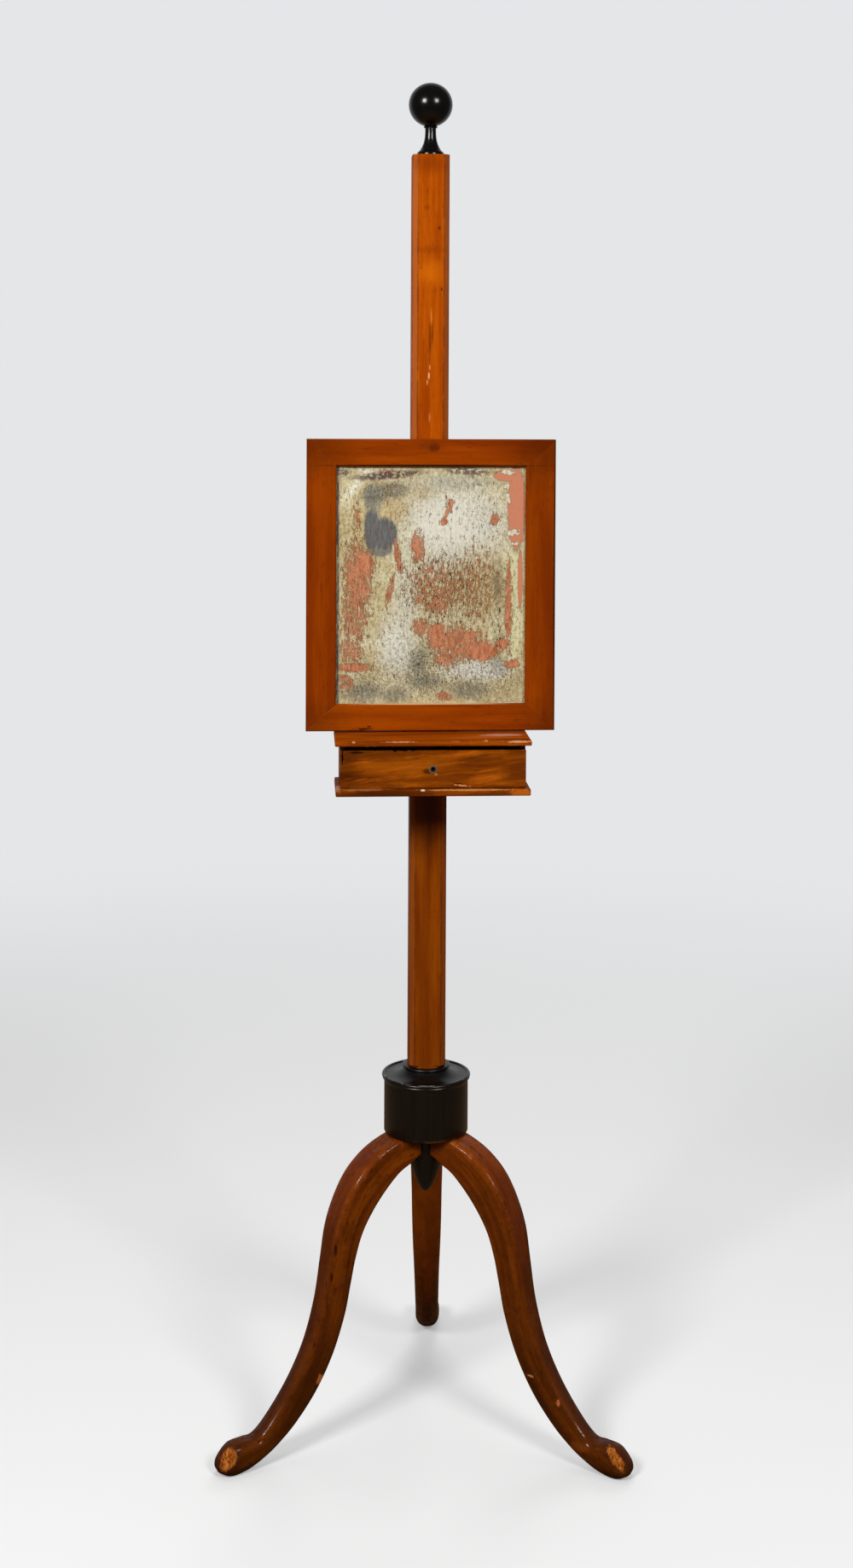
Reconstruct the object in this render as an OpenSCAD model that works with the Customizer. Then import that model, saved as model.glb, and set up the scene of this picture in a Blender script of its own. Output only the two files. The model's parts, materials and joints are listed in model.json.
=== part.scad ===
// Shaving stand: a tilting mirror over a small drawer box, on a carriage that slides
// up and down a square post with a ball finial and three sabre legs.
// Millimetres, +Z up, floor at z = 0, the mirror and the drawer face -Y.
// Heights are measured from the floor, and most pieces are drawn about the post's axis.

/* [Legs] */
// Height of the hub's underside above the floor, which the legs set
leg_height = 358; // [320:1:400]
// Reach of each leg, from the post's axis to the tip of its toe
leg_reach = 284; // [250:1:320]
// Width of a leg at its root
leg_w = 41; // [34:0.5:44]
// Turn of the tripod about the post, against the front of the box
tripod_turn = -4.3; // [-12:0.1:12]
// How far the left leg stands off its even third of the circle
left_leg_off = 1.9; // [-6:0.1:6]
// How far the right leg stands off its even third of the circle
right_leg_off = -0.8; // [-6:0.1:6]
// Radius of the round tenon on top of each leg
leg_tenon_r = 7.5; // [5:0.5:9]
// Length of that tenon
leg_tenon_len = 24; // [14:1:36]
// Distance of that tenon from the post's axis
leg_tenon_at = 36; // [32:0.5:39]

/* [Hub] */
// Radius of the drum
hub_r = 51.6; // [50:0.2:60]
// Height of the drum up to its rim
drum_h = 66; // [60:1:90]
// How far the rim stands out from the drum
rim_out = 2.8; // [1:0.2:6]
// Thickness of the rim
rim_h = 5; // [3:0.5:8]
// Height of the hollow curve under the rim
flare_h = 5; // [3:0.5:10]
// Width of the rim's flat top
lip_w = 3; // [2.6:0.2:6]
// Radius of the turned neck that the post stands on
neck_r = 22; // [20:0.5:26]
// Height of the neck ring
neck_h = 4; // [3:0.5:6]
// Rise of the dished top from the rim to the neck ring
dish_rise = 7; // [4:0.5:12]

/* [Pendant drop] */
// Radius of the drop's round core, which the legs butt against
drop_r = 22.2; // [20:0.2:24]
// Height of the straight core above the bud
drop_core_h = 38; // [34:0.5:44]
// Height of the bud below the core
drop_bud_h = 39.5; // [25:0.5:55]
// Distance of the leg seats from the post's axis
leg_seat_r = 19; // [17:0.5:19.5]
// Height of the leg seats
leg_seat_h = 27; // [26:0.5:32]
// Radius of the spigot that holds the drop in the hub
drop_spigot_r = 9; // [6:0.5:11]
// Length of the spigot
drop_spigot_len = 22; // [12:1:26]

/* [Post] */
// Width of the square post
post_w = 45; // [40:0.5:50]
// Width of the chamfers on its corners, measured along a face
post_chamfer = 6.5; // [3:0.5:9]
// Length of the post between its turned foot and the finial
post_len = 1112.5; // [950:0.5:1250]
// Radius of the turned foot under the square
foot_r = 23.5; // [21:0.5:26]
// Height of the turned foot
foot_h = 3; // [2:0.5:6]
// Radius of the post's tenon
post_tenon_r = 14; // [10:0.5:16]
// Length of the post's tenon
post_tenon_len = 45; // [30:1:50]

/* [Finial] */
// Radius of the ball
ball_r = 26.8; // [22:0.2:32]
// Radius of the finial's collar
collar_r = 17.3; // [14:0.1:20]
// Height of the collar
collar_h = 6.5; // [4:0.5:10]
// Radius of the neck where it is thinnest
finial_neck_r = 7.4; // [6:0.1:10]
// Height of the neck
finial_neck_h = 27; // [18:0.5:36]
// Radius of the bead under the ball
bead_r = 9.4; // [8.8:0.1:13]
// Height of the bead
bead_h = 2.6; // [2:0.2:4]
// Radius of the dowel that fixes the finial in the post
finial_dowel_r = 6; // [4:0.5:8]
// Length of the dowel
finial_dowel_len = 28; // [15:1:40]

/* [Carriage] */
// Height of the underside of the box above the floor, at rest
box_z = 793; // [700:1:900]
// Running gap between the carriage and the post
slide_gap = 0.4; // [0.2:0.1:0.8]
// Thickness of the long board in front of the post
carriage_board_t = 9; // [7:0.5:14]
// How far that board stops short of the top of the mirror frame
carriage_board_drop = 13; // [12:0.5:20]
// Thickness of the cheeks beside the post
cheek_t = 11; // [10:0.5:16]
// Thickness of the boards behind the post
collar_back_t = 11; // [8:0.5:16]
// Height of the lower collar, behind the box
lower_collar_h = 62; // [40:1:64]
// Height of the upper collar, behind the mirror
upper_collar_h = 66; // [60:1:100]
// How far the upper collar stops short of the top of the long board
upper_collar_drop = 4; // [2:0.5:10]
// Radius of the shanks of the collar screws
collar_screw_r = 1.8; // [1.2:0.1:2.2]
// Length of the collar screws
collar_screw_len = 26; // [18:1:30]
// Distance of the collar screws from the ends of a collar
collar_screw_inset = 13; // [8:1:18]

/* [Clamp screw] */
// Radius of the clamp screw
clamp_r = 4; // [3:0.5:5]
// Radius of its turned knob
clamp_knob_r = 17; // [12:0.5:20]
// Length of its turned knob
clamp_knob_len = 34; // [24:1:44]
// Radius of the knob's neck
clamp_neck_r = 8; // [6:0.5:10]
// Length of the knob's neck
clamp_neck_len = 9.5; // [6:0.5:14]
// Radius of the plate that drives the knob
clamp_plate_r = 10; // [8:0.5:12]
// Thickness of that plate
clamp_plate_t = 3; // [2:0.5:5]
// Gap between that plate and the collar
clamp_plate_gap = 0.3; // [0.1:0.1:1]
// Side of the square pressure pad
pad_w = 18; // [12:1:24]
// Thickness of the pressure pad
pad_t = 2.5; // [1.5:0.5:4]
// Gap between the pad and the post while the carriage slides
pad_gap = 0.2; // [0.1:0.1:0.3]

/* [Mirror frame] */
// Width of the frame
frame_w = 300; // [280:1:330]
// Height of the frame
frame_h = 351; // [320:1:380]
// Thickness of the frame
frame_t = 18; // [16:0.5:24]
// Width of the stiles
stile_w = 36; // [28:0.5:44]
// Width of the rails
rail_w = 32.5; // [30:0.5:42]
// Gap between the frame and the lid of the box
frame_lift = 1.4; // [1:0.1:3]
// Thickness of the lip in front of the glass
lip_t = 6; // [4:0.5:8]
// Width of the rebate behind the lip
rebate_w = 8; // [5:0.5:9]
// Fall of the bevel along the sight edge
sight_bevel = 1.5; // [0.5:0.1:3]
// Rounding of the outer edges
frame_ease = 1.2; // [0.4:0.1:2]
// Thickness of the glass
glass_t = 3; // [2:0.5:4]
// Thickness of the backboard
backboard_t = 4; // [3:0.5:5]
// Side of the square beads that hold the backboard
bead_w = 4.5; // [3:0.5:4.5]
// Gap round the glass and the backboard in their rebate
rebate_gap = 0.5; // [0.2:0.1:1]

/* [Mirror hinge] */
// Thickness of a hinge leaf
leaf_t = 1.5; // [1:0.1:2]
// Gap between the two leaves
leaf_gap = 0.4; // [0.2:0.1:0.6]
// Length of the hinge
hinge_len = 56; // [40:1:66]
// Radius of the hinge knuckles
knuckle_r = 3; // [2.6:0.1:3.4]
// Radius of the hinge pin
pin_r = 1.25; // [1:0.05:1.5]
// Distance of the hinge pin below the top of the frame
pin_drop = 7.5; // [7:0.5:9]
// Reach of the fixed leaf below the pin
fixed_leaf_h = 22; // [16:1:30]
// Reach of the moving leaf below the pin
moving_leaf_h = 15; // [12:0.5:16]
// Gap at each end of a knuckle
knuckle_gap = 0.1; // [0.05:0.05:0.3]
// Gap between the knuckles and the groove in the frame
groove_gap = 0.3; // [0.2:0.1:0.6]
// Radius of the shanks of the small brass screws
small_screw_r = 1; // [0.8:0.1:1.2]
// Length of the small brass screws
small_screw_len = 7; // [5:0.5:8]
// Distance of the outer hinge screws from the ends of the leaves
hinge_screw_in = 8; // [5:0.5:12]
// Radius of the leather buttons that the bottom rail hangs against
buffer_r = 5; // [3:0.5:8]
// Distance of the buttons from the side edges of the long board
buffer_in = 12; // [8:0.5:20]
// Gap between a button and the frame
buffer_gap = 0.3; // [0.1:0.1:0.6]

/* [Tilt stay] */
// Radius of the middle of the slot in the quadrant
slot_at = 30; // [28:0.5:34]
// Radius of the tilt screw that runs in the slot
tilt_screw_r = 2.5; // [1.5:0.1:3]
// Angle of the tilt screw behind the hinge pin at rest, from straight down
tilt_screw_angle = 40; // [36:1:48]
// Most that the mirror tilts
tilt_max = 30; // [20:1:35]
// Width of metal on each side of the slot
quadrant_margin = 3.4; // [2.5:0.1:4]
// Thickness of the quadrant
quadrant_t = 2; // [1.5:0.1:3]
// Width of the quadrant's flange, which is screwed to the frame
flange_w = 20; // [14:0.5:28]
// Gap round the tilt screw in the slot
slot_gap = 0.15; // [0.1:0.05:0.4]
// Gap on each side of the quadrant
quadrant_gap = 0.2; // [0.1:0.1:0.5]
// Radius of the tilt screw's knurled head
tilt_head_r = 8; // [6:0.5:10]
// Length of the tilt screw's knurled head
tilt_head_len = 8; // [5:0.5:12]
// Depth of the tilt screw in the cheek
tilt_screw_depth = 8.5; // [6:0.5:9]

/* [Box] */
// Width of the box between the outer faces of its sides
case_w = 220; // [180:1:260]
// Height of the space between the bottom board and the lid
case_h = 51; // [46:1:70]
// Thickness of the box sides and of its back
case_t = 6; // [5:0.5:8]
// Depth of the lid and of the bottom board
board_d = 85; // [70:1:110]
// Thickness of the lid
lid_t = 6.2; // [5:0.2:10]
// How far the lid stands out past the sides of the box
lid_overhang = 6; // [2:0.5:12]
// Thickness of the bottom board
bottom_t = 8; // [6:0.5:12]
// How far the bottom board stands out past the sides of the box
bottom_overhang = 5; // [2:0.5:12]
// Rounding of the edges of the lid and of the bottom board
board_ease = 1; // [0.4:0.1:2]
// Distance of the box screws from the side edges of the long board
case_screw_in = 12; // [8:0.5:18]
// Distance of the box screws from the lid and from the bottom board
case_screw_up = 14; // [8:1:20]

/* [Drawer] */
// Height of the drawer front
front_h = 44.6; // [39:0.2:45]
// Thickness of the drawer front
front_t = 8; // [6:0.5:10]
// Rounding of the edges of the drawer front
front_ease = 0.6; // [0.2:0.1:1.5]
// How far the drawer front is set back from the edge of the lid
front_setback = 9; // [4:0.5:14]
// Thickness of the drawer sides and of its back
drawer_t = 5; // [4:0.5:6]
// Height of the drawer sides
drawer_side_h = 38; // [30:1:42]
// Thickness of the drawer bottom
drawer_bottom_t = 3; // [2:0.5:4]
// Height of the drawer bottom above the lower edges of the sides
drawer_bottom_up = 3; // [2:0.5:6]
// Depth of the groove that holds the drawer bottom
groove_d = 2.5; // [1.5:0.5:3]
// Gap beside and under the drawer
drawer_gap = 0.3; // [0.2:0.1:0.6]
// Gap behind the drawer
drawer_back_gap = 1.5; // [1:0.5:5]
// Outer radius of the knob ferrule
ferrule_r = 5; // [4:0.5:7]
// Radius of the hole that held the knob
knob_hole_r = 2; // [1.5:0.1:3]
// How far the ferrule stands out of the drawer front
ferrule_out = 0.6; // [0.2:0.1:2]

/* [Hidden] */

$fn = 64;
fit = 0.05;       // gap round a tenon, a dowel or a screw shank in its hole
over = 1;         // how far a cut runs past the face that it opens

mahogany = "#9a4316";
ebonised = "#17120f";
deal = "#b98a52";
brass = "#b08d3c";
bone = "#d8ccaa";
silvering = "#b9b59c";
leather = "#6b4a2c";

// Heights, from the floor up
hub_z = leg_height;
rim_z = hub_z + drum_h;
dish_z = rim_z + rim_h;
neck_z = dish_z + dish_rise;
hub_top = neck_z + neck_h;
post_z = hub_top + foot_h;
post_top = post_z + post_len;
rim_r = hub_r + rim_out;

// The carriage, from the post's face outwards
slide_half = post_w / 2 + slide_gap;
cheek_out = slide_half + cheek_t;
collar_back_out = slide_half + collar_back_t;
board_front = -(slide_half + carriage_board_t);
hinge_space = 2 * leaf_t + leaf_gap;
frame_back = board_front - hinge_space;
frame_front = frame_back - frame_t;

// The box and the mirror, from the underside of the box up
case_z = box_z + bottom_t;
lid_w = case_w + 2 * lid_overhang;
bottom_w = case_w + 2 * bottom_overhang;
lid_z = case_z + case_h;
lid_top = lid_z + lid_t;
frame_z = lid_top + frame_lift;
frame_top = frame_z + frame_h;
board_top = frame_top - carriage_board_drop;
upper_collar_top = board_top - upper_collar_drop;
upper_collar_z = upper_collar_top - upper_collar_h;
clamp_z = upper_collar_z + upper_collar_h / 2;

// The tilt hinge
pin_y = board_front - hinge_space / 2;
pin_z = frame_top - pin_drop;
tilt_screw_y = pin_y + slot_at * sin(tilt_screw_angle);
tilt_screw_z = pin_z - slot_at * cos(tilt_screw_angle);

// The box, front to back
box_front = board_front - board_d;
front_y = box_front + front_setback;
front_back_y = front_y + front_t;
case_front = front_back_y + drawer_gap;
case_back_y = board_front - case_t;
drawer_z = case_z + drawer_gap;
drawer_end = case_back_y - drawer_back_gap;
drawer_half = case_w / 2 - case_t - drawer_gap;
knob_z = drawer_z + front_h / 2;

// Side outline of a leg: outer and under edge as [outer r, z, under r, z, width as a share
// of leg_w, squareness of the section], drawn on a 284 x 358 frame from a 19 mm seat.
// Where the outline dips below the floor, the sole is worn flat.
drawn_seat = 19;
drawn_reach = 284;
drawn_height = 358;
leg_outline = [
    [19, 358, 19, 334, 1, 9],
    [36, 358, 34, 325, 1, 9],
    [51, 356.5, 49, 316, 1, 8],
    [79, 344, 67, 298, 1, 7],
    [104, 323, 84, 276, 1, 6],
    [122, 295, 97, 252, 0.98, 5],
    [135, 263, 105, 224, 0.95, 4],
    [142, 225, 111, 194, 0.93, 3.5],
    [151, 178, 118, 157, 0.88, 3],
    [166, 132, 133, 113, 0.8, 2.8],
    [187, 93, 155, 73, 0.76, 2.6],
    [214, 57, 182, 41, 0.74, 2.5],
    [235, 37, 206, 21, 0.75, 2.4],
    [250, 36, 225, 9, 0.77, 2.4],
    [268, 34, 243, 1, 0.78, 2.4],
    [281, 21, 260, -2, 0.74, 2.3],
    [284, 11, 270, -0.5, 0.6, 2.2],
    [282, 5, 276, 2.5, 0.3, 2]];
rings_per_span = 3;
ring_points = 20;

// A point on the smooth curve through the rows of p, a share t past row i
function smooth_row(p, i, t) =
    let (last = len(p) - 1,
         a = i == 0 ? 2 * p[0] - p[1] : p[i - 1],
         b = p[i],
         c = p[i + 1],
         d = i + 2 > last ? 2 * p[last] - p[last - 1] : p[i + 2])
    b + t * ((c - a) / 2 + t * (a - 2.5 * b + 2 * c - d / 2 + t * (1.5 * (b - c) + (d - a) / 2)));
function smooth_rows(p, n) = concat(
    [for (i = [0 : len(p) - 2], j = [0 : n - 1]) smooth_row(p, i, j / n)], [p[len(p) - 1]]);
function eased(v, power) = sign(v) * pow(abs(v), power);
function leg_r(r) = leg_seat_r + (r - drawn_seat) * (leg_reach - leg_seat_r) / (drawn_reach - drawn_seat);
function leg_z(z) = min(leg_height, max(0, z * leg_height / drawn_height));
function leg_ring(s) =
    let (mid_r = (s[0] + s[2]) / 2, mid_z = (s[1] + s[3]) / 2,
         half_r = (s[0] - s[2]) / 2, half_z = (s[1] - s[3]) / 2, half_w = leg_w * s[4] / 2)
    [for (k = [0 : ring_points - 1])
        let (a = 360 * k / ring_points, across = eased(cos(a), 2 / s[5]), up = eased(sin(a), 2 / s[5]))
        [leg_r(mid_r + half_r * up), half_w * across, leg_z(mid_z + half_z * up)]];

// The legs, left, right and rear, and the post's place over the middle of their footprint
leg_angles = [210 + tripod_turn + left_leg_off, 330 + tripod_turn + right_leg_off, 90 + tripod_turn];
leg_rings = [for (s = smooth_rows(leg_outline, rings_per_span)) leg_ring(s)];
footprint_x = [for (a = leg_angles, ring = leg_rings, p = ring) p[0] * cos(a) - p[1] * sin(a)];
footprint_y = [for (a = leg_angles, ring = leg_rings, p = ring) p[0] * sin(a) + p[1] * cos(a)];
post_x = -(max(footprint_x) + min(footprint_x)) / 2;
post_y = -(max(footprint_y) + min(footprint_y)) / 2;

// Arc of points round [cx, cy] from angle a to angle b
function arc(cx, cy, r, a, b, n = 16) = [for (i = [0 : n]) let (t = a + (b - a) * i / n)
    [cx + r * cos(t), cy + r * sin(t)]];

module at_post() {
    translate([post_x, post_y, 0]) children();
}

// A box from its lowest corner
module block(x, y, z, size) {
    translate([x, y, z]) cube(size);
}

// A rectangle with its corners cut off at 45 degrees
module cut_corner_rect(w, h, c) {
    polygon([[c, 0], [w - c, 0], [w, c], [w, h - c], [w - c, h], [c, h], [0, h - c], [0, c]]);
}

// A board with every edge eased by a small chamfer
module eased_board(x, y, z, w, d, h, c) {
    translate([x, y, z]) intersection() {
        linear_extrude(h) cut_corner_rect(w, d, c);
        translate([0, d, 0]) rotate([90, 0, 0]) linear_extrude(d) cut_corner_rect(w, h, c);
        rotate([90, 0, 90]) linear_extrude(w) cut_corner_rect(d, h, c);
    }
}

// A rod along X or along Y, from its lowest end
module rod_x(x, y, z, r, len) {
    translate([x, y, z]) rotate([0, 90, 0]) cylinder(r = r, h = len);
}
module rod_y(x, y, z, r, len) {
    translate([x, y, z]) rotate([-90, 0, 0]) cylinder(r = r, h = len);
}

// A countersunk wood screw whose head is flush with the face at y, driven along +Y or -Y
module screw_y(x, y, z, r, len, way) {
    translate([x, y, z]) rotate([-90 * way, 0, 0]) {
        cylinder(r1 = 2 * r, r2 = r, h = r);
        cylinder(r = r, h = len);
    }
}
// The clearance hole for that screw
module screw_hole_y(x, y, z, r, len, way) {
    translate([x, y, z]) rotate([-90 * way, 0, 0]) {
        cylinder(r1 = 2 * r + fit, r2 = r + fit, h = r);
        translate([0, 0, -over]) cylinder(r = r + fit, h = len + fit + over);
    }
}

// ---- Stand ----

module finial() {
    ease = 0.8;
    bead_z = collar_h + finial_neck_h;
    ball_seat_angle = -acos(finial_neck_r / ball_r);
    ball_z = bead_z + bead_h - ball_r * sin(ball_seat_angle);
    neck_flare = collar_r - ease - finial_neck_r;
    profile = concat(
        [[0, -finial_dowel_len], [finial_dowel_r, -finial_dowel_len], [finial_dowel_r, 0]],
        [[collar_r - ease, 0], [collar_r, ease], [collar_r, collar_h - 2 * ease]],
        [for (t = [0 : 1/14 : 1]) [finial_neck_r + neck_flare * pow(1 - t, 3), collar_h + t * finial_neck_h]],
        [for (t = [0.1, 0.5, 0.9]) [bead_r - ease * abs(1 - 2 * t), bead_z + t * bead_h]],
        arc(0, ball_z, ball_r, ball_seat_angle, 90, 28));
    color(ebonised) at_post() translate([0, 0, post_top]) rotate_extrude($fn = 96) polygon(profile);
}

module post() {
    color(mahogany) at_post() difference() {
        union() {
            translate([-post_w / 2, -post_w / 2, post_z]) linear_extrude(post_len)
                cut_corner_rect(post_w, post_w, post_chamfer);
            translate([0, 0, hub_top]) cylinder(r = foot_r, h = foot_h);
            translate([0, 0, hub_top - post_tenon_len])
                cylinder(r = post_tenon_r, h = post_tenon_len + foot_h + over);
        }
        translate([0, 0, post_top - finial_dowel_len - fit])
            cylinder(r = finial_dowel_r + fit, h = finial_dowel_len + over);
    }
}

module hub_drum() {
    ease = 0.8;
    bead = neck_h / 2;
    lip_in = rim_r - lip_w;
    dish_in = neck_r - bead;
    dish_low = dish_z - ease;
    profile = concat(
        [[0, hub_z], [hub_r - ease, hub_z], [hub_r, hub_z + ease], [hub_r, rim_z - flare_h]],
        [for (t = [0.25 : 0.25 : 1]) [hub_r + rim_out * 0.8 * t * t, rim_z - flare_h * (1 - t)]],
        arc(rim_r - rim_h / 2, rim_z + rim_h / 2, rim_h / 2, -50, 90, 8),
        [for (i = [0 : 12]) let (t = i / 12)
            [lip_in + (dish_in - lip_in) * t, dish_low + (neck_z - dish_low) * pow(t, 3)]],
        arc(neck_r - bead, neck_z + bead, bead, -80, 80, 8),
        [[neck_r - bead, hub_top], [0, hub_top]]);
    color(ebonised) at_post() difference() {
        rotate_extrude($fn = 96) polygon(profile);
        translate([0, 0, hub_top - post_tenon_len - fit])
            cylinder(r = post_tenon_r + fit, h = post_tenon_len + over);
        translate([0, 0, hub_z - over]) cylinder(r = drop_spigot_r + fit, h = drop_spigot_len + fit + over);
        for (a = leg_angles) rotate([0, 0, a]) translate([leg_tenon_at, 0, hub_z - over])
            cylinder(r = leg_tenon_r + fit, h = leg_tenon_len + fit + over);
    }
}

module pendant_drop() {
    bud_z = hub_z - drop_core_h;
    spigot_z = hub_z + drop_spigot_len;
    profile = concat(
        [[0, spigot_z], [drop_spigot_r, spigot_z], [drop_spigot_r, hub_z], [drop_r, hub_z], [drop_r, bud_z]],
        [for (i = [1 : 12]) let (t = i / 12)
            [drop_r * sqrt(1 - t * t) * (1 - 0.22 * t), bud_z - drop_bud_h * (0.35 * t + 0.65 * t * t)]]);
    color(ebonised) at_post() difference() {
        rotate_extrude($fn = 96) polygon(profile);
        for (a = leg_angles) rotate([0, 0, a])
            block(leg_seat_r, -drop_r, hub_z - leg_seat_h, [drop_r, 2 * drop_r, leg_seat_h + fit]);
    }
}

// One sabre leg along +X: rings of a section that runs from a square root to a round toe
module leg() {
    last = len(leg_rings) - 1;
    n = ring_points;
    sides = [for (i = [0 : last - 1], k = [0 : n - 1]) let (m = (k + 1) % n)
        each [[i * n + m, i * n + k, (i + 1) * n + k], [(i + 1) * n + m, i * n + m, (i + 1) * n + k]]];
    root = [for (k = [0 : n - 1]) k];
    toe = [for (k = [n - 1 : -1 : 0]) last * n + k];
    polyhedron(points = [for (ring = leg_rings) each ring], faces = concat(sides, [root, toe]));
    translate([leg_tenon_at, 0, leg_height - leg_tenon_len])
        cylinder(r = leg_tenon_r, h = 2 * leg_tenon_len);
}
module leg_at(i) {
    color(mahogany) at_post() rotate([0, 0, leg_angles[i]]) leg();
}
module leg_left() { leg_at(0); }
module leg_right() { leg_at(1); }
module leg_rear() { leg_at(2); }

// ---- Carriage ----

// Where the screws of a collar stand: left and right, low and high
module collar_screws_at(z, h) {
    x = slide_half + cheek_t / 2;
    for (sx = [-x, x], sz = [z + collar_screw_inset, z + h - collar_screw_inset])
        translate([sx, 0, sz]) children();
}
module all_collar_screws() {
    collar_screws_at(box_z, lower_collar_h) children();
    collar_screws_at(upper_collar_z, upper_collar_h) children();
}
module collar_screw() { screw_y(0, collar_back_out, 0, collar_screw_r, collar_screw_len, -1); }
module collar_screw_hole() { screw_hole_y(0, collar_back_out, 0, collar_screw_r, collar_screw_len, -1); }

case_screw_len = case_t + carriage_board_t - 2;
module case_screws_at() {
    x = cheek_out - case_screw_in;
    for (sx = [-x, x], z = [case_z + case_screw_up, lid_z - case_screw_up]) translate([sx, 0, z]) children();
}
module case_screw() { screw_y(0, case_back_y, 0, collar_screw_r, case_screw_len, 1); }
module case_screw_hole() { screw_hole_y(0, case_back_y, 0, collar_screw_r, case_screw_len, 1); }

module hinge_screws_at(leaf_h) {
    z = pin_z - (knuckle_r + leaf_h) / 2;
    for (x = [-1 : 1]) translate([x * (hinge_len / 2 - hinge_screw_in), 0, z]) children();
}
module fixed_screw() { screw_y(0, board_front - leaf_t, 0, small_screw_r, small_screw_len, 1); }
module fixed_screw_hole() { screw_hole_y(0, board_front - leaf_t, 0, small_screw_r, small_screw_len, 1); }
module moving_screw() { screw_y(0, frame_back + leaf_t, 0, small_screw_r, small_screw_len, -1); }
module moving_screw_hole() { screw_hole_y(0, frame_back + leaf_t, 0, small_screw_r, small_screw_len, -1); }

module carriage_board() {
    color(mahogany) at_post() difference() {
        block(-cheek_out, board_front, box_z, [2 * cheek_out, carriage_board_t, board_top - box_z]);
        case_screws_at() case_screw_hole();
        hinge_screws_at(fixed_leaf_h) fixed_screw_hole();
    }
}

// A cheek beside the post, on the side that s gives
module cheek(s, z, h) {
    x = s > 0 ? slide_half : -cheek_out;
    color(mahogany) at_post() difference() {
        block(x, -slide_half, z, [cheek_t, 2 * slide_half, h]);
        all_collar_screws() collar_screw_hole();
        rod_x(cheek_out - tilt_screw_depth - fit, tilt_screw_y, tilt_screw_z,
            tilt_screw_r + fit, tilt_screw_depth + fit + over);
    }
}
module upper_cheek_left() { cheek(-1, upper_collar_z, upper_collar_h); }
module upper_cheek_right() { cheek(1, upper_collar_z, upper_collar_h); }
module lower_cheek_left() { cheek(-1, box_z, lower_collar_h); }
module lower_cheek_right() { cheek(1, box_z, lower_collar_h); }

module upper_back() {
    pocket = pad_w + 2 * fit;
    pocket_d = pad_t + pad_gap;
    color(mahogany) at_post() difference() {
        block(-cheek_out, slide_half, upper_collar_z, [2 * cheek_out, collar_back_t, upper_collar_h]);
        all_collar_screws() collar_screw_hole();
        block(-pocket / 2, slide_half - over, clamp_z - pocket / 2, [pocket, pocket_d + over, pocket]);
        rod_y(0, slide_half, clamp_z, clamp_r + fit, collar_back_t + over);
    }
}
module lower_back() {
    color(mahogany) at_post() difference() {
        block(-cheek_out, slide_half, box_z, [2 * cheek_out, collar_back_t, lower_collar_h]);
        all_collar_screws() collar_screw_hole();
    }
}
module collar_screws() {
    color(brass) at_post() all_collar_screws() collar_screw();
}

// The pad stands just clear of the post, in its pocket, with the clamp screw behind it
pad_y = post_w / 2 + pad_gap;
module pressure_pad() {
    color(brass) at_post() block(-pad_w / 2, pad_y, clamp_z - pad_w / 2, [pad_w, pad_t, pad_w]);
}

plate_y = collar_back_out + clamp_plate_gap;
knob_y = plate_y + clamp_plate_t;
knob_bore = clamp_knob_len / 2;
module clamp_screw() {
    screw_y0 = pad_y + pad_t + fit;
    color(brass) at_post() {
        rod_y(0, screw_y0, clamp_z, clamp_r, knob_y + knob_bore - screw_y0);
        rod_y(0, plate_y, clamp_z, clamp_plate_r, clamp_plate_t);
    }
}
// The knob narrows from the plate to its neck, swells to its full radius and ends in a dome
module clamp_knob() {
    grip = clamp_knob_len - clamp_neck_len;
    belly = clamp_neck_len + grip / 2;
    profile = concat(
        [for (t = [0 : 0.2 : 1])
            [clamp_plate_r + (clamp_neck_r - clamp_plate_r) * sin(90 * t), clamp_neck_len * t]],
        [for (t = [0.2 : 0.2 : 0.8])
            [clamp_neck_r + (clamp_knob_r - clamp_neck_r) * sin(90 * t), clamp_neck_len + grip / 2 * t]],
        [for (a = [0 : 15 : 90]) [clamp_knob_r * cos(a), belly + grip / 2 * sin(a)]],
        [[0, 0]]);
    color(ebonised) at_post() translate([0, knob_y, clamp_z]) rotate([-90, 0, 0]) difference() {
        rotate_extrude() polygon(profile);
        translate([0, 0, -over]) cylinder(r = clamp_r + fit, h = knob_bore + fit + over);
    }
}

// ---- Box ----

module case_back() {
    color(mahogany) at_post() difference() {
        block(-case_w / 2 + case_t, case_back_y, case_z, [case_w - 2 * case_t, case_t, case_h]);
        case_screws_at() case_screw_hole();
    }
}
module case_side(s) {
    x = s > 0 ? case_w / 2 - case_t : -case_w / 2;
    color(mahogany) at_post() block(x, case_front, case_z, [case_t, board_front - case_front, case_h]);
}
module case_side_left() { case_side(-1); }
module case_side_right() { case_side(1); }
module lid_board() {
    color(mahogany) at_post() eased_board(-lid_w / 2, box_front, lid_z, lid_w, board_d, lid_t, board_ease);
}
module case_bottom() {
    color(mahogany) at_post()
        eased_board(-bottom_w / 2, box_front, box_z, bottom_w, board_d, bottom_t, board_ease);
}
module case_screws() {
    color(brass) at_post() case_screws_at() case_screw();
}

// Two leather buttons that the bottom rail hangs against
module rest_buffers() {
    x = cheek_out - buffer_in;
    z = frame_z + (rail_w - rebate_w) / 2;
    color(leather) at_post() for (sx = [-x, x])
        rod_y(sx, frame_back + buffer_gap, z, buffer_r, hinge_space - buffer_gap);
}

// ---- Mirror hinge and tilt stay ----

knuckles = 5;
knuckle_len = hinge_len / knuckles;
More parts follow.
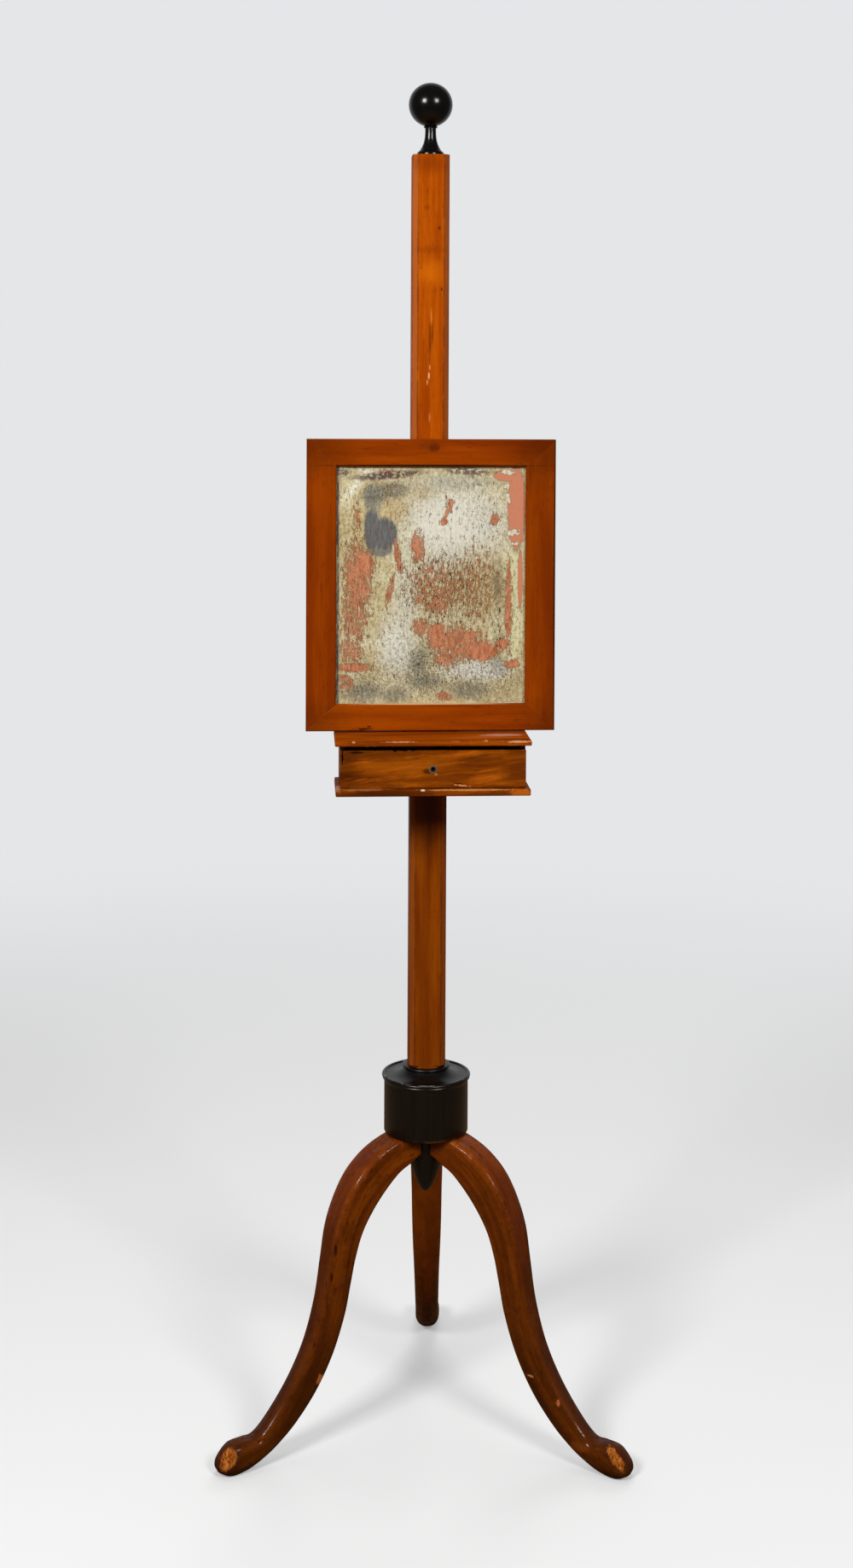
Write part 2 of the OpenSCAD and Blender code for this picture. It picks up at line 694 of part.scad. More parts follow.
// A leaf with its knuckles, from number first in steps of two, and the tabs that join them to it
module leaf(first, y, leaf_h) {
    tab_h = knuckle_r + groove_gap;
    difference() {
        union() {
            block(-hinge_len / 2, y, pin_z - leaf_h, [hinge_len, leaf_t, leaf_h - tab_h]);
            for (i = [first : 2 : knuckles - 1]) {
                x = -hinge_len / 2 + i * knuckle_len + knuckle_gap;
                rod_x(x, pin_y, pin_z, knuckle_r, knuckle_len - 2 * knuckle_gap);
                block(x, y, pin_z - tab_h, [knuckle_len - 2 * knuckle_gap, leaf_t, tab_h]);
            }
        }
        rod_x(-hinge_len, pin_y, pin_z, pin_r + fit, 2 * hinge_len);
        children();
    }
}
module hinge_leaf_fixed() {
    color(brass) at_post() leaf(0, board_front - leaf_t, fixed_leaf_h)
        hinge_screws_at(fixed_leaf_h) fixed_screw_hole();
}
module hinge_leaf_moving() {
    color(brass) at_post() leaf(1, frame_back, moving_leaf_h)
        hinge_screws_at(moving_leaf_h) moving_screw_hole();
}
module hinge_pin() {
    color(brass) at_post() rod_x(-hinge_len / 2, pin_y, pin_z, pin_r, hinge_len);
}
module hinge_screws_fixed() {
    color(brass) at_post() hinge_screws_at(fixed_leaf_h) fixed_screw();
}
module hinge_screws_moving() {
    color(brass) at_post() hinge_screws_at(moving_leaf_h) moving_screw();
}

quadrant_x = cheek_out + quadrant_gap;
flange_z = frame_top - rail_w + rebate_w + rebate_gap;
flange_h = pin_z - flange_z - 1;
slot_half = tilt_screw_r + slot_gap;
quadrant_r = slot_at + slot_half + quadrant_margin;
// Angles from straight down towards the back, as the slot and the plate need them
slot_from = tilt_screw_angle;
slot_to = tilt_screw_angle + tilt_max;
end_angle = (slot_half + quadrant_margin) / slot_at * 180 / PI;
function back_of_down(r, a) = [r * sin(a), -r * cos(a)];

module quadrant_screws_at() {
    for (x = [0.4, 0.8]) translate([quadrant_x + flange_w * x, 0, flange_z + flange_h / 2]) children();
}
module tilt_quadrant() {
    plate = concat([[0, 0]], [for (i = [0 : 24]) back_of_down(quadrant_r, (slot_to + end_angle) * i / 24)]);
    slot = concat(
        [for (t = [0 : 1/16 : 1]) back_of_down(slot_at + slot_half, slot_from + tilt_max * t)],
        [for (t = [0 : 1/16 : 1]) back_of_down(slot_at - slot_half, slot_to - tilt_max * t)]);
    color(brass) at_post() {
        translate([quadrant_x, pin_y, pin_z]) rotate([90, 0, 90]) linear_extrude(quadrant_t) difference() {
            polygon(plate);
            polygon(slot);
            for (a = [slot_from, slot_to]) translate(back_of_down(slot_at, a)) circle(r = slot_half);
        }
        block(quadrant_x, frame_back, flange_z, [quadrant_t, hinge_space / 2 + quadrant_t / 2, flange_h]);
        difference() {
            block(quadrant_x, frame_back, flange_z, [flange_w, hinge_space / 2, flange_h]);
            quadrant_screws_at() quadrant_screw_hole();
        }
    }
}
module quadrant_screw() { screw_y(0, frame_back + hinge_space / 2, 0, small_screw_r, small_screw_len, -1); }
module quadrant_screw_hole() {
    screw_hole_y(0, frame_back + hinge_space / 2, 0, small_screw_r, small_screw_len, -1);
}
module quadrant_screws() {
    color(brass) at_post() quadrant_screws_at() quadrant_screw();
}
module tilt_screw() {
    root_x = cheek_out - tilt_screw_depth;
    head_x = quadrant_x + quadrant_t + quadrant_gap;
    color(brass) at_post() {
        rod_x(root_x, tilt_screw_y, tilt_screw_z, tilt_screw_r, head_x + tilt_head_len / 2 - root_x);
        rod_x(head_x, tilt_screw_y, tilt_screw_z, tilt_head_r, tilt_head_len);
    }
}

// ---- Mirror ----

// Section of a frame member: x from the outer edge to the sight edge, y from the back to the front
module member_section(w) {
    e = frame_ease;
    polygon([[0, e], [e, 0], [w - rebate_w, 0], [w - rebate_w, frame_t - lip_t], [w, frame_t - lip_t],
        [w, frame_t - sight_bevel], [w - sight_bevel, frame_t], [e, frame_t], [0, frame_t - e]]);
}
// Outline of a member in the frame's plane, from the outer corners to the sight corners
module rail_outline(s) {
    h = frame_h / 2;
    w = frame_w / 2;
    polygon([[-w, s * h], [w, s * h], [w - stile_w, s * (h - rail_w)], [-w + stile_w, s * (h - rail_w)]]);
}
module stile_outline(s) {
    h = frame_h / 2;
    w = frame_w / 2;
    polygon([[s * w, -h], [s * w, h], [s * (w - stile_w), h - rail_w], [s * (w - stile_w), -h + rail_w]]);
}
module in_frame() {
    translate([0, frame_back, frame_z + frame_h / 2]) rotate([90, 0, 0]) children();
}
module frame_top_rail() {
    color(mahogany) at_post() difference() {
        rail_bar(1);
        rod_x(-hinge_len / 2 - groove_gap, pin_y, pin_z,
            knuckle_r + groove_gap, hinge_len + 2 * groove_gap);
        hinge_screws_at(moving_leaf_h) moving_screw_hole();
        quadrant_screws_at() quadrant_screw_hole();
    }
}
module frame_bottom_rail() { color(mahogany) at_post() rail_bar(-1); }
module rail_bar(s) {
    intersection() {
        in_frame() linear_extrude(frame_t) rail_outline(s);
        translate([0, frame_back, s > 0 ? frame_top : frame_z]) mirror([0, 0, s > 0 ? 1 : 0])
            rotate([0, -90, 0]) translate([0, 0, -frame_w / 2]) linear_extrude(frame_w)
                mirror([0, 1]) member_section(rail_w);
    }
}
module stile_bar(s) {
    intersection() {
        in_frame() linear_extrude(frame_t) stile_outline(s);
        translate([s * frame_w / 2, frame_back, frame_z]) mirror([s > 0 ? 1 : 0, 0, 0])
            linear_extrude(frame_h) mirror([0, 1]) member_section(stile_w);
    }
}
module frame_stile_left() { color(mahogany) at_post() stile_bar(-1); }
module frame_stile_right() { color(mahogany) at_post() stile_bar(1); }

pane_w = frame_w - 2 * (stile_w - rebate_w + rebate_gap);
pane_h = frame_h - 2 * (rail_w - rebate_w + rebate_gap);
pane_z = frame_z + frame_h / 2 - pane_h / 2;
glass_y = frame_front + lip_t;
module mirror_glass() {
    color(silvering) at_post() block(-pane_w / 2, glass_y, pane_z, [pane_w, glass_t, pane_h]);
}
module mirror_backboard() {
    color(deal) at_post() block(-pane_w / 2, glass_y + glass_t, pane_z, [pane_w, backboard_t, pane_h]);
}
// Four square beads round the back of the backboard, in the rebate
module backboard_beads() {
    y = glass_y + glass_t + backboard_t;
    w = bead_w;
    gap = 0.2;
    color(deal) at_post() {
        for (z = [pane_z, pane_z + pane_h - w]) block(-pane_w / 2, y, z, [pane_w, w, w]);
        for (x = [-pane_w / 2, pane_w / 2 - w])
            block(x, y, pane_z + w + gap, [w, w, pane_h - 2 * (w + gap)]);
    }
}

// ---- Drawer ----

module drawer_front() {
    color(mahogany) at_post() difference() {
        eased_board(-case_w / 2, front_y, drawer_z, case_w, front_t, front_h, front_ease);
        rod_y(0, front_y - over, knob_z, ferrule_r + fit, front_t + 2 * over);
    }
}
module drawer_bottom_shape(extra) {
    half = drawer_half - drawer_t + groove_d - extra;
    z = drawer_z + drawer_bottom_up - extra;
    block(-half - 2 * extra, front_back_y - extra, z,
        [2 * half + 4 * extra, drawer_end - drawer_t + groove_d - front_back_y + extra,
         drawer_bottom_t + 2 * extra]);
}
module drawer_side(s) {
    x = s > 0 ? drawer_half - drawer_t : -drawer_half;
    color(deal) at_post() difference() {
        block(x, front_back_y, drawer_z, [drawer_t, drawer_end - front_back_y, drawer_side_h]);
        drawer_bottom_shape(fit);
    }
}
module drawer_side_left() { drawer_side(-1); }
module drawer_side_right() { drawer_side(1); }
module drawer_back() {
    half = drawer_half - drawer_t;
    color(deal) at_post() difference() {
        block(-half, drawer_end - drawer_t, drawer_z, [2 * half, drawer_t, drawer_side_h]);
        drawer_bottom_shape(fit);
    }
}
module drawer_bottom() {
    color(deal) at_post() drawer_bottom_shape(0);
}
// The bone ring round the hole of the drawer's missing knob
module knob_ferrule() {
    color(bone) at_post() difference() {
        rod_y(0, front_y - ferrule_out, knob_z, ferrule_r, front_t + ferrule_out);
        rod_y(0, front_y - ferrule_out - over, knob_z, knob_hole_r, front_t + ferrule_out + 2 * over);
    }
}

finial();
post();
hub_drum();
pendant_drop();
leg_left();
leg_right();
leg_rear();
carriage_board();
upper_cheek_left();
upper_cheek_right();
upper_back();
lower_cheek_left();
lower_cheek_right();
lower_back();
collar_screws();
pressure_pad();
clamp_screw();
clamp_knob();
case_back();
case_side_left();
case_side_right();
lid_board();
case_bottom();
case_screws();
rest_buffers();
hinge_leaf_fixed();
hinge_pin();
hinge_screws_fixed();
hinge_leaf_moving();
hinge_screws_moving();
tilt_quadrant();
quadrant_screws();
tilt_screw();
frame_top_rail();
frame_bottom_rail();
frame_stile_left();
frame_stile_right();
mirror_glass();
mirror_backboard();
backboard_beads();
drawer_front();
drawer_side_left();
drawer_side_right();
drawer_back();
drawer_bottom();
knob_ferrule();
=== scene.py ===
"""A tripod shaving stand in mahogany and ebonised wood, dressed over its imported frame.

All places are in metres in the frame's own axes: +Z up, and the mirror faces -Y.
"""
import json
import math

import bmesh
import bpy
from mathutils import Matrix, Vector

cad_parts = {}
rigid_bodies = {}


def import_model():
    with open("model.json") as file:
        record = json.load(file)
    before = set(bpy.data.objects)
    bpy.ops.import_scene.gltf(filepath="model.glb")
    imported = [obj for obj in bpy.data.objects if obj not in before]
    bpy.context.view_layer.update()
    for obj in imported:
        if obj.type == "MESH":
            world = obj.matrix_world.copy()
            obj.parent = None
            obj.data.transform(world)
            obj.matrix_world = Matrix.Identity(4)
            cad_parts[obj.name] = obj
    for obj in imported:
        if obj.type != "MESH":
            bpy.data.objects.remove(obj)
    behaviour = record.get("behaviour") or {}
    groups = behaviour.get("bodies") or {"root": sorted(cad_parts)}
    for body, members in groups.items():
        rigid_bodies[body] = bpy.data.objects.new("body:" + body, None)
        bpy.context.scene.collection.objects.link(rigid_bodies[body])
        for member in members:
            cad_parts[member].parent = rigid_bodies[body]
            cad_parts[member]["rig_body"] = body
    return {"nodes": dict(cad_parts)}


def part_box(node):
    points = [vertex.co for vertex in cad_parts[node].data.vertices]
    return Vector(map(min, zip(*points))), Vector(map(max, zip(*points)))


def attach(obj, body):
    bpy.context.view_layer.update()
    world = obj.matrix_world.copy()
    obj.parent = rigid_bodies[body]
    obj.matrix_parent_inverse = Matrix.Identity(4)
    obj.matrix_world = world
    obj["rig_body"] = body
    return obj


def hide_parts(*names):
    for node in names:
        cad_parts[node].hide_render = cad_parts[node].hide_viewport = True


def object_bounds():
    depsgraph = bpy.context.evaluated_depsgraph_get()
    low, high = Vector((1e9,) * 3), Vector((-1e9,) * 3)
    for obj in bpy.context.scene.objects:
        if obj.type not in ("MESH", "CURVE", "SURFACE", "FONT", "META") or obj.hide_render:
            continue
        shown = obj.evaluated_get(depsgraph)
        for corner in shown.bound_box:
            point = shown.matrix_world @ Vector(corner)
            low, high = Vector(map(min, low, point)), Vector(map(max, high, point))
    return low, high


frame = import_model()
CAD_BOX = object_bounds()
MM = 0.001

# ---- Places taken from the frame ----


def low(node):
    return Vector(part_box(node)[0])


def high(node):
    return Vector(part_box(node)[1])


def middle(node):
    return (low(node) + high(node)) / 2


AXIS = Vector((middle("post").x, middle("post").y, 0))
# The height of the legs' roots, in mm
LEG_TOP = 358
HUB_BOTTOM = low("leg_left").z + LEG_TOP * MM
POST_HALF = 22.5 * MM
POST_CHAMFER = 6.5 * MM
GLASS_CORNER = Vector((low("frame_stile_left").x + 36 * MM, 0, low("frame_bottom_rail").z + 32.5 * MM))

# ---- Colours, as 0 to 255 in the usual display space ----


def tone(red, green, blue):
    """A display colour as the linear colour that a shader takes."""
    def linear(value):
        share = value / 255
        return share / 12.92 if share <= 0.04045 else ((share + 0.055) / 1.055) ** 2.4
    return (linear(red), linear(green), linear(blue), 1)


BACKDROP = tone(229, 230, 232)

# ---- Shader nodes ----


class Net:
    """A node tree built by short calls. Each call returns an output socket, or the node where it says so."""

    def __init__(self, tree):
        self.tree = tree

    def feed(self, socket, value):
        """Links an output to the socket, or sets the socket's own value."""
        if isinstance(value, bpy.types.NodeSocket):
            self.tree.links.new(value, socket)
        else:
            socket.default_value = value

    def node(self, kind, settings=None, inputs=None):
        """Adds a node, with its settings by attribute and its inputs by name or number. Returns the node."""
        made = self.tree.nodes.new(kind)
        for name, value in (settings or {}).items():
            setattr(made, name, value)
        for name, value in (inputs or {}).items():
            self.feed(made.inputs[name], value)
        return made

    def maths(self, operation, first, second=0.0):
        return self.node("ShaderNodeMath", {"operation": operation}, {0: first, 1: second}).outputs[0]

    def times(self, first, second):
        return self.maths("MULTIPLY", first, second)

    def vector(self, operation, first, second=(0, 0, 0)):
        made = self.node("ShaderNodeVectorMath", {"operation": operation}, {0: first})
        if operation == "SCALE":
            self.feed(made.inputs["Scale"], second)
        else:
            self.feed(made.inputs[1], second)
        return made.outputs["Value" if operation in ("LENGTH", "DOT_PRODUCT", "DISTANCE") else "Vector"]

    def split(self, vector):
        """The x, y and z of a vector."""
        return self.node("ShaderNodeSeparateXYZ", inputs={0: vector}).outputs[:]

    def join(self, x, y, z):
        return self.node("ShaderNodeCombineXYZ", inputs={0: x, 1: y, 2: z}).outputs[0]

    def step(self, value, start, end):
        """0 before start, 1 past end, and eased between them. start may be above end."""
        made = self.node("ShaderNodeMapRange", {"interpolation_type": "SMOOTHSTEP"},
                         {"Value": value, "From Min": start, "From Max": end})
        return made.outputs["Result"]

    def between(self, value, start, end):
        """value, from 0 to 1, spread over start to end."""
        made = self.node("ShaderNodeMapRange", inputs={"Value": value, "To Min": start, "To Max": end})
        return made.outputs["Result"]

    def noise(self, vector, scale, detail=3.0, roughness=0.5):
        made = self.node("ShaderNodeTexNoise",
                         inputs={"Vector": vector, "Scale": scale, "Detail": detail, "Roughness": roughness})
        return made.outputs["Fac"]

    def blend(self, share, first, second):
        """The first colour where share is 0, and the second where it is 1."""
        made = self.node("ShaderNodeMix", {"data_type": "RGBA", "clamp_factor": True})
        self.feed(made.inputs["Factor"], share)
        self.feed(made.inputs[6], first)
        self.feed(made.inputs[7], second)
        return made.outputs[2]

    def tint(self, mask, strength, colour, over):
        """The colour with another laid over it where mask is 1, as strongly as strength."""
        return self.blend(self.times(mask, strength), colour, over)

    def place(self):
        """The point on the piece, in the frame's axes."""
        return self.node("ShaderNodeTexCoord").outputs["Object"]

    def own(self, attribute):
        """A value that the piece's own mesh holds. Returns the node."""
        return self.node("ShaderNodeAttribute", {"attribute_name": attribute})

    def effect(self, group, **inputs):
        """One of the shared effects below, with its inputs by name. Returns the node."""
        made = self.node("ShaderNodeGroup", {"node_tree": group})
        for name, value in inputs.items():
            self.feed(made.inputs[name.replace("_", " ")], value)
        return made


def new_effect(name, inputs, outputs):
    """An empty shared effect: its net, its input sockets by name, and a function that sets its outputs."""
    tree = bpy.data.node_groups.new(name, "ShaderNodeTree")
    kinds = {float: "NodeSocketFloat", tuple: "NodeSocketVector"}
    for title, default in inputs.items():
        socket = tree.interface.new_socket(name=title, in_out="INPUT", socket_type=kinds[type(default)])
        socket.default_value = default
    for title in outputs:
        tree.interface.new_socket(name=title, in_out="OUTPUT", socket_type="NodeSocketFloat")
    net = Net(tree)
    entry = net.node("NodeGroupInput")
    leave = net.node("NodeGroupOutput")

    def give(title, value):
        net.feed(leave.inputs[title], value)

    return net, entry.outputs, give


def wood_figure_effect():
    """Figure, streaks and pores of wood whose grain runs along the third axis of Place."""
    net, given, give = new_effect(
        "wood_figure",
        {"Place": (0.0, 0.0, 0.0), "Band": 0.03, "Stretch": 6.0, "Seed": 0.0},
        ["Figure", "Streaks", "Pores"])
    x, y, z = net.split(given["Place"])
    offset = net.times(given["Seed"], 3.7)
    slow = net.join(net.maths("ADD", x, offset), y, net.maths("DIVIDE", z, given["Stretch"]))
    figure = net.noise(slow, net.maths("DIVIDE", 1.0, given["Band"]), 3.0, 0.55)
    fine = net.join(net.maths("ADD", x, offset), y, net.maths("DIVIDE", z, 28.0))
    streaks = net.noise(fine, 330.0, 4.0, 0.6)
    short = net.join(x, y, net.maths("DIVIDE", z, 14.0))
    pores = net.noise(short, 1100.0, 2.0, 0.5)
    give("Figure", net.step(figure, 0.3, 0.7))
    give("Streaks", net.step(streaks, 0.32, 0.68))
    give("Pores", net.step(pores, 0.62, 0.75))
    return net.tree


def board_edge_effect():
    """A mask that is 1 along the edges of a square board between the corners Low and High."""
    net, given, give = new_effect(
        "board_edge",
        {"Place": (0.0, 0.0, 0.0), "Low": (0.0, 0.0, 0.0), "High": (1.0, 1.0, 1.0),
         "Width": 0.002, "Broken": 0.5},
        ["Edge"])
    from_low = net.vector("SUBTRACT", given["Place"], given["Low"])
    from_high = net.vector("SUBTRACT", given["High"], given["Place"])
    a, b, c = net.split(net.vector("MINIMUM", from_low, from_high))
    inner = net.maths("MINIMUM", net.maths("MAXIMUM", a, b), c)
    second = net.maths("MAXIMUM", net.maths("MINIMUM", a, b), inner)
    patchy = net.noise(given["Place"], 60.0, 4.0, 0.65)
    keep = net.step(patchy, net.between(given["Broken"], 0.2, 0.62), net.between(given["Broken"], 0.45, 0.72))
    reach = net.times(given["Width"], net.between(keep, 0.2, 1.3))
    give("Edge", net.times(net.step(second, reach, net.times(reach, 0.35)), keep))
    return net.tree


def arris_effect():
    """A mask along the eight arrises of the chamfered post, whose axis is at Centre."""
    net, given, give = new_effect(
        "post_arris",
        {"Place": (0.0, 0.0, 0.0), "Centre": (0.0, 0.0, 0.0), "Half": 0.02, "Chamfer": 0.005, "Width": 0.002,
         "Broken": 0.5},
        ["Arris", "Chamfer"])
    x, y, _ = net.split(net.vector("SUBTRACT", given["Place"], given["Centre"]))
    x = net.maths("ABSOLUTE", x)
    y = net.maths("ABSOLUTE", y)
    long = net.maths("MAXIMUM", x, y)
    short = net.maths("MINIMUM", x, y)
    corner = net.maths("SUBTRACT", given["Half"], given["Chamfer"])
    gap = net.vector("LENGTH", net.join(net.maths("SUBTRACT", long, given["Half"]),
                                        net.maths("SUBTRACT", short, corner), 0.0))
    patchy = net.noise(given["Place"], 45.0, 4.0, 0.65)
    keep = net.step(patchy, net.between(given["Broken"], 0.2, 0.6), net.between(given["Broken"], 0.45, 0.72))
    reach = net.times(given["Width"], net.between(keep, 0.2, 1.3))
    give("Arris", net.times(net.step(gap, reach, net.times(reach, 0.3)), keep))
    give("Chamfer", net.maths("LESS_THAN", long, net.maths("SUBTRACT", given["Half"], 0.0003)))
    return net.tree


def oval_effect():
    """An oval mask round Centre, turned about Y, whose outline is pushed in by Push."""
    net, given, give = new_effect(
        "oval",
        {"Place": (0.0, 0.0, 0.0), "Centre": (0.0, 0.0, 0.0), "Half": (0.01, 0.01, 0.01),
         "Turn": 0.0, "Soft": 0.3, "Push": 0.0},
        ["Mask"])
    away = net.vector("SUBTRACT", given["Place"], given["Centre"])
    turned = net.node("ShaderNodeVectorRotate", {"rotation_type": "Y_AXIS"},
                      {"Vector": away, "Angle": given["Turn"]}).outputs[0]
    size = net.maths("ADD", net.vector("LENGTH", net.vector("DIVIDE", turned, given["Half"])), given["Push"])
    outer = net.maths("ADD", 1.0, given["Soft"])
    inner = net.maths("SUBTRACT", 1.0, given["Soft"])
    give("Mask", net.step(size, outer, inner))
    return net.tree


def patch_effect():
    """A ragged oval mask round Centre, with its own half sizes, turned about Y."""
    net, given, give = new_effect(
        "patch",
        {"Place": (0.0, 0.0, 0.0), "Centre": (0.0, 0.0, 0.0), "Half": (0.01, 0.01, 0.01),
         "Turn": 0.0, "Ragged": 0.4, "Soft": 0.3, "Grain": 90.0},
        ["Mask"])
    rough = net.maths("SUBTRACT", net.noise(given["Place"], given["Grain"], 4.0, 0.7), 0.5)
    push = net.times(rough, net.times(given["Ragged"], 4.0))
    oval = net.effect(OVAL, Place=given["Place"], Centre=given["Centre"], Half=given["Half"],
                      Turn=given["Turn"], Soft=given["Soft"], Push=push)
    give("Mask", oval.outputs[0])
    return net.tree


def speck_effect():
    """Small scattered specks, stretched along the third axis."""
    net, given, give = new_effect(
        "specks",
        {"Place": (0.0, 0.0, 0.0), "Spacing": 0.004, "Stretch": 1.5, "Size": 0.25, "Share": 0.3},
        ["Mask"])
    x, y, z = net.split(given["Place"])
    cell = net.join(x, y, net.maths("DIVIDE", z, given["Stretch"]))
    scale = net.maths("DIVIDE", 1.0, given["Spacing"])
    cells = net.node("ShaderNodeTexVoronoi", inputs={"Vector": cell, "Scale": scale})
    chosen = net.maths("LESS_THAN", net.split(cells.outputs["Color"])[0], given["Share"])
    dot = net.step(cells.outputs["Distance"], given["Size"], net.times(given["Size"], 0.5))
    give("Mask", net.times(dot, chosen))
    return net.tree


WOOD_FIGURE = wood_figure_effect()
BOARD_EDGE = board_edge_effect()
POST_ARRIS = arris_effect()
OVAL = oval_effect()
PATCH = patch_effect()
SPECKS = speck_effect()

# ---- Materials ----


def new_material(name):
    """A material with a principled shader: its net and its shader node."""
    material = bpy.data.materials.new(name)
    material.use_nodes = True
    net = Net(material.node_tree)
    shader = material.node_tree.nodes["Principled BSDF"]
    return material, net, shader


def along(net, axis, place=None):
    """The point on the piece with the grain's axis, x, y or z, moved to third place."""
    x, y, z = net.split(place or net.place())
    return {"x": net.join(y, z, x), "y": net.join(x, z, y), "z": net.join(x, y, z)}[axis]


def by_axis(x, y, z):
    """A place given in mm from the post's axis and from the floor."""
    return (AXIS.x + x * MM, AXIS.y + y * MM, z * MM)


def spot(at, half, colour, strength, **more):
    """One patch for add_patches, with its half sizes in mm. Small ones have a finer outline."""
    coarsest = 60.0
    finest = 600.0
    grain = min(finest, max(coarsest, 1200.0 / math.sqrt(half[0] * half[2])))
    half_m = tuple(side * MM for side in half)
    return dict(at=at, half=half_m, tone=colour, strength=strength, grain=grain, **more)


def add_patches(net, colour, place, patches):
    """Lays ragged patches over colour, each made by spot."""
    for patch in patches:
        mask = net.effect(PATCH, Place=place, Centre=patch["at"], Half=patch["half"],
                          Turn=patch.get("turn", 0.0), Ragged=patch.get("ragged", 0.4),
                          Soft=patch.get("soft", 0.3), Grain=patch["grain"]).outputs[0]
        colour = net.tint(mask, patch["strength"], colour, patch["tone"])
    return colour


def finish_wood(net, shader, colour, figure, edge, gloss, coat, dimpled=0.0):
    """Sets the shader of a varnished piece from its colour, its wood figure and its worn edges.

    gloss is its least roughness, coat the weight of its varnish, and dimpled how much the varnish is
    dulled and dimpled in patches.
    """
    height = net.maths("ADD", net.times(figure.outputs["Streaks"], 0.4),
                       net.times(figure.outputs["Pores"], -0.8))
    if dimpled:
        dimples = net.noise(net.place(), 150.0, 5.0, 0.75)
        height = net.maths("ADD", height, net.times(dimples, 5.0 * dimpled))
        dull = net.step(dimples, 0.56, 0.42)
        edge = net.maths("MAXIMUM", edge, net.times(dull, dimpled))
    bump = net.node("ShaderNodeBump", inputs={"Strength": 0.25, "Distance": 0.0002, "Height": height})
    rough = net.between(figure.outputs["Streaks"], gloss, gloss + 0.14)
    net.feed(shader.inputs["Base Color"], colour)
    net.feed(shader.inputs["Roughness"], net.maths("MAXIMUM", rough, net.times(edge, 0.6)))
    net.feed(shader.inputs["Coat Weight"], net.times(net.maths("SUBTRACT", 1.0, edge), coat))
    net.feed(shader.inputs["Normal"], bump.outputs[0])
    shader.inputs["Coat Roughness"].default_value = 0.14
    shader.inputs["Specular IOR Level"].default_value = 0.0


def wood_colour(net, figure, dark, light, pore_tone, streak):
    """Dark to light by the figure, with finer streaks and dark pores over it."""
    colour = net.blend(figure.outputs["Figure"], dark, light)
    between = net.maths("SUBTRACT", 1.0, figure.outputs["Streaks"])
    colour = net.tint(between, streak, colour, dark)
    return net.tint(figure.outputs["Pores"], 0.6, colour, pore_tone)


def board_wood(node, axis, dark, light, edge_tone, seed, edge_width=1.0, band=14.0, patches=(), flame=None):
    """Varnished wood for a square board whose grain runs along axis.

    Its edges are worn in places to edge_tone, over edge_width in mm. band is the width of its figure in
    mm, and flame the tone of slanting streaks.
    """
    material, net, shader = new_material(node + "_wood")
    place = net.place()
    figure = net.effect(WOOD_FIGURE, Place=along(net, axis, place), Band=band * MM, Stretch=9.0, Seed=seed)
    edge = net.effect(BOARD_EDGE, Place=place, Low=tuple(low(node)), High=tuple(high(node)),
                      Width=edge_width * MM, Broken=0.7).outputs["Edge"]
    colour = wood_colour(net, figure, dark, light, tone(44, 14, 3), 0.28)
    if flame:
        slanted = net.node("ShaderNodeVectorRotate", {"rotation_type": "Y_AXIS"},
                           {"Vector": place, "Angle": math.radians(9)}).outputs[0]
        across = net.noise(net.vector("MULTIPLY", slanted, (0.09, 1.0, 1.0)), 190.0, 5.0, 0.65)
        colour = net.tint(net.step(across, 0.52, 0.7), 0.75, colour, flame)
        colour = net.tint(net.step(across, 0.46, 0.3), 0.6, colour, dark)
    colour = add_patches(net, colour, place, patches)
    colour = net.tint(edge, 0.85, colour, edge_tone)
    finish_wood(net, shader, colour, figure, edge, 0.4, 0.15)
    return material


def post_mark(x, z, half_x, half_z, colour, strength, soft=0.5, ragged=0.3):
    """A patch on the front of the post, x from its middle."""
    return spot(by_axis(x, -22.5, z), (half_x, 12, half_z), colour, strength, soft=soft, ragged=ragged)


# Bands, dents and rubbed spots from the top down. The last is a painted shadow of the box, below the box's
# place at rest
POST_MARKS_AND_SHADOW = [
    post_mark(-2, 1544, 20, 10, tone(112, 40, 2), 0.5, 0.8),
    post_mark(0, 1440, 16, 4, tone(120, 44, 4), 0.4, 0.8),
    post_mark(-5, 1491, 3, 3, tone(104, 40, 8), 0.45, 0.7),
    post_mark(10, 1466, 1.4, 2, tone(60, 24, 6), 0.8),
    post_mark(13, 1392, 1.2, 2, tone(60, 24, 6), 0.8),
    post_mark(-12, 1418, 1.2, 1.5, tone(70, 26, 6), 0.8),
    post_mark(0, 1412, 15, 12, tone(214, 110, 10), 0.45, 0.8),
    post_mark(-1, 1331, 1.3, 20, tone(96, 36, 4), 0.75, 0.8),
    post_mark(2, 1338, 0.8, 12, tone(84, 30, 4), 0.7, 0.6),
    post_mark(0.5, 1358, 0.8, 8, tone(230, 140, 60), 0.5, 0.7),
    post_mark(-2, 1287, 1.0, 4, tone(238, 172, 112), 0.8),
    post_mark(-4, 1279, 0.8, 3, tone(232, 160, 96), 0.6),
    post_mark(-1, 1297, 0.8, 3, tone(232, 160, 96), 0.5),
    post_mark(-1, 1236, 1.0, 5, tone(226, 150, 90), 0.35),
    # Painted shadow cast by the box onto the post's front
    post_mark(-1, 766, 15, 64, tone(44, 17, 3), 0.58, 0.55, 0.1)]


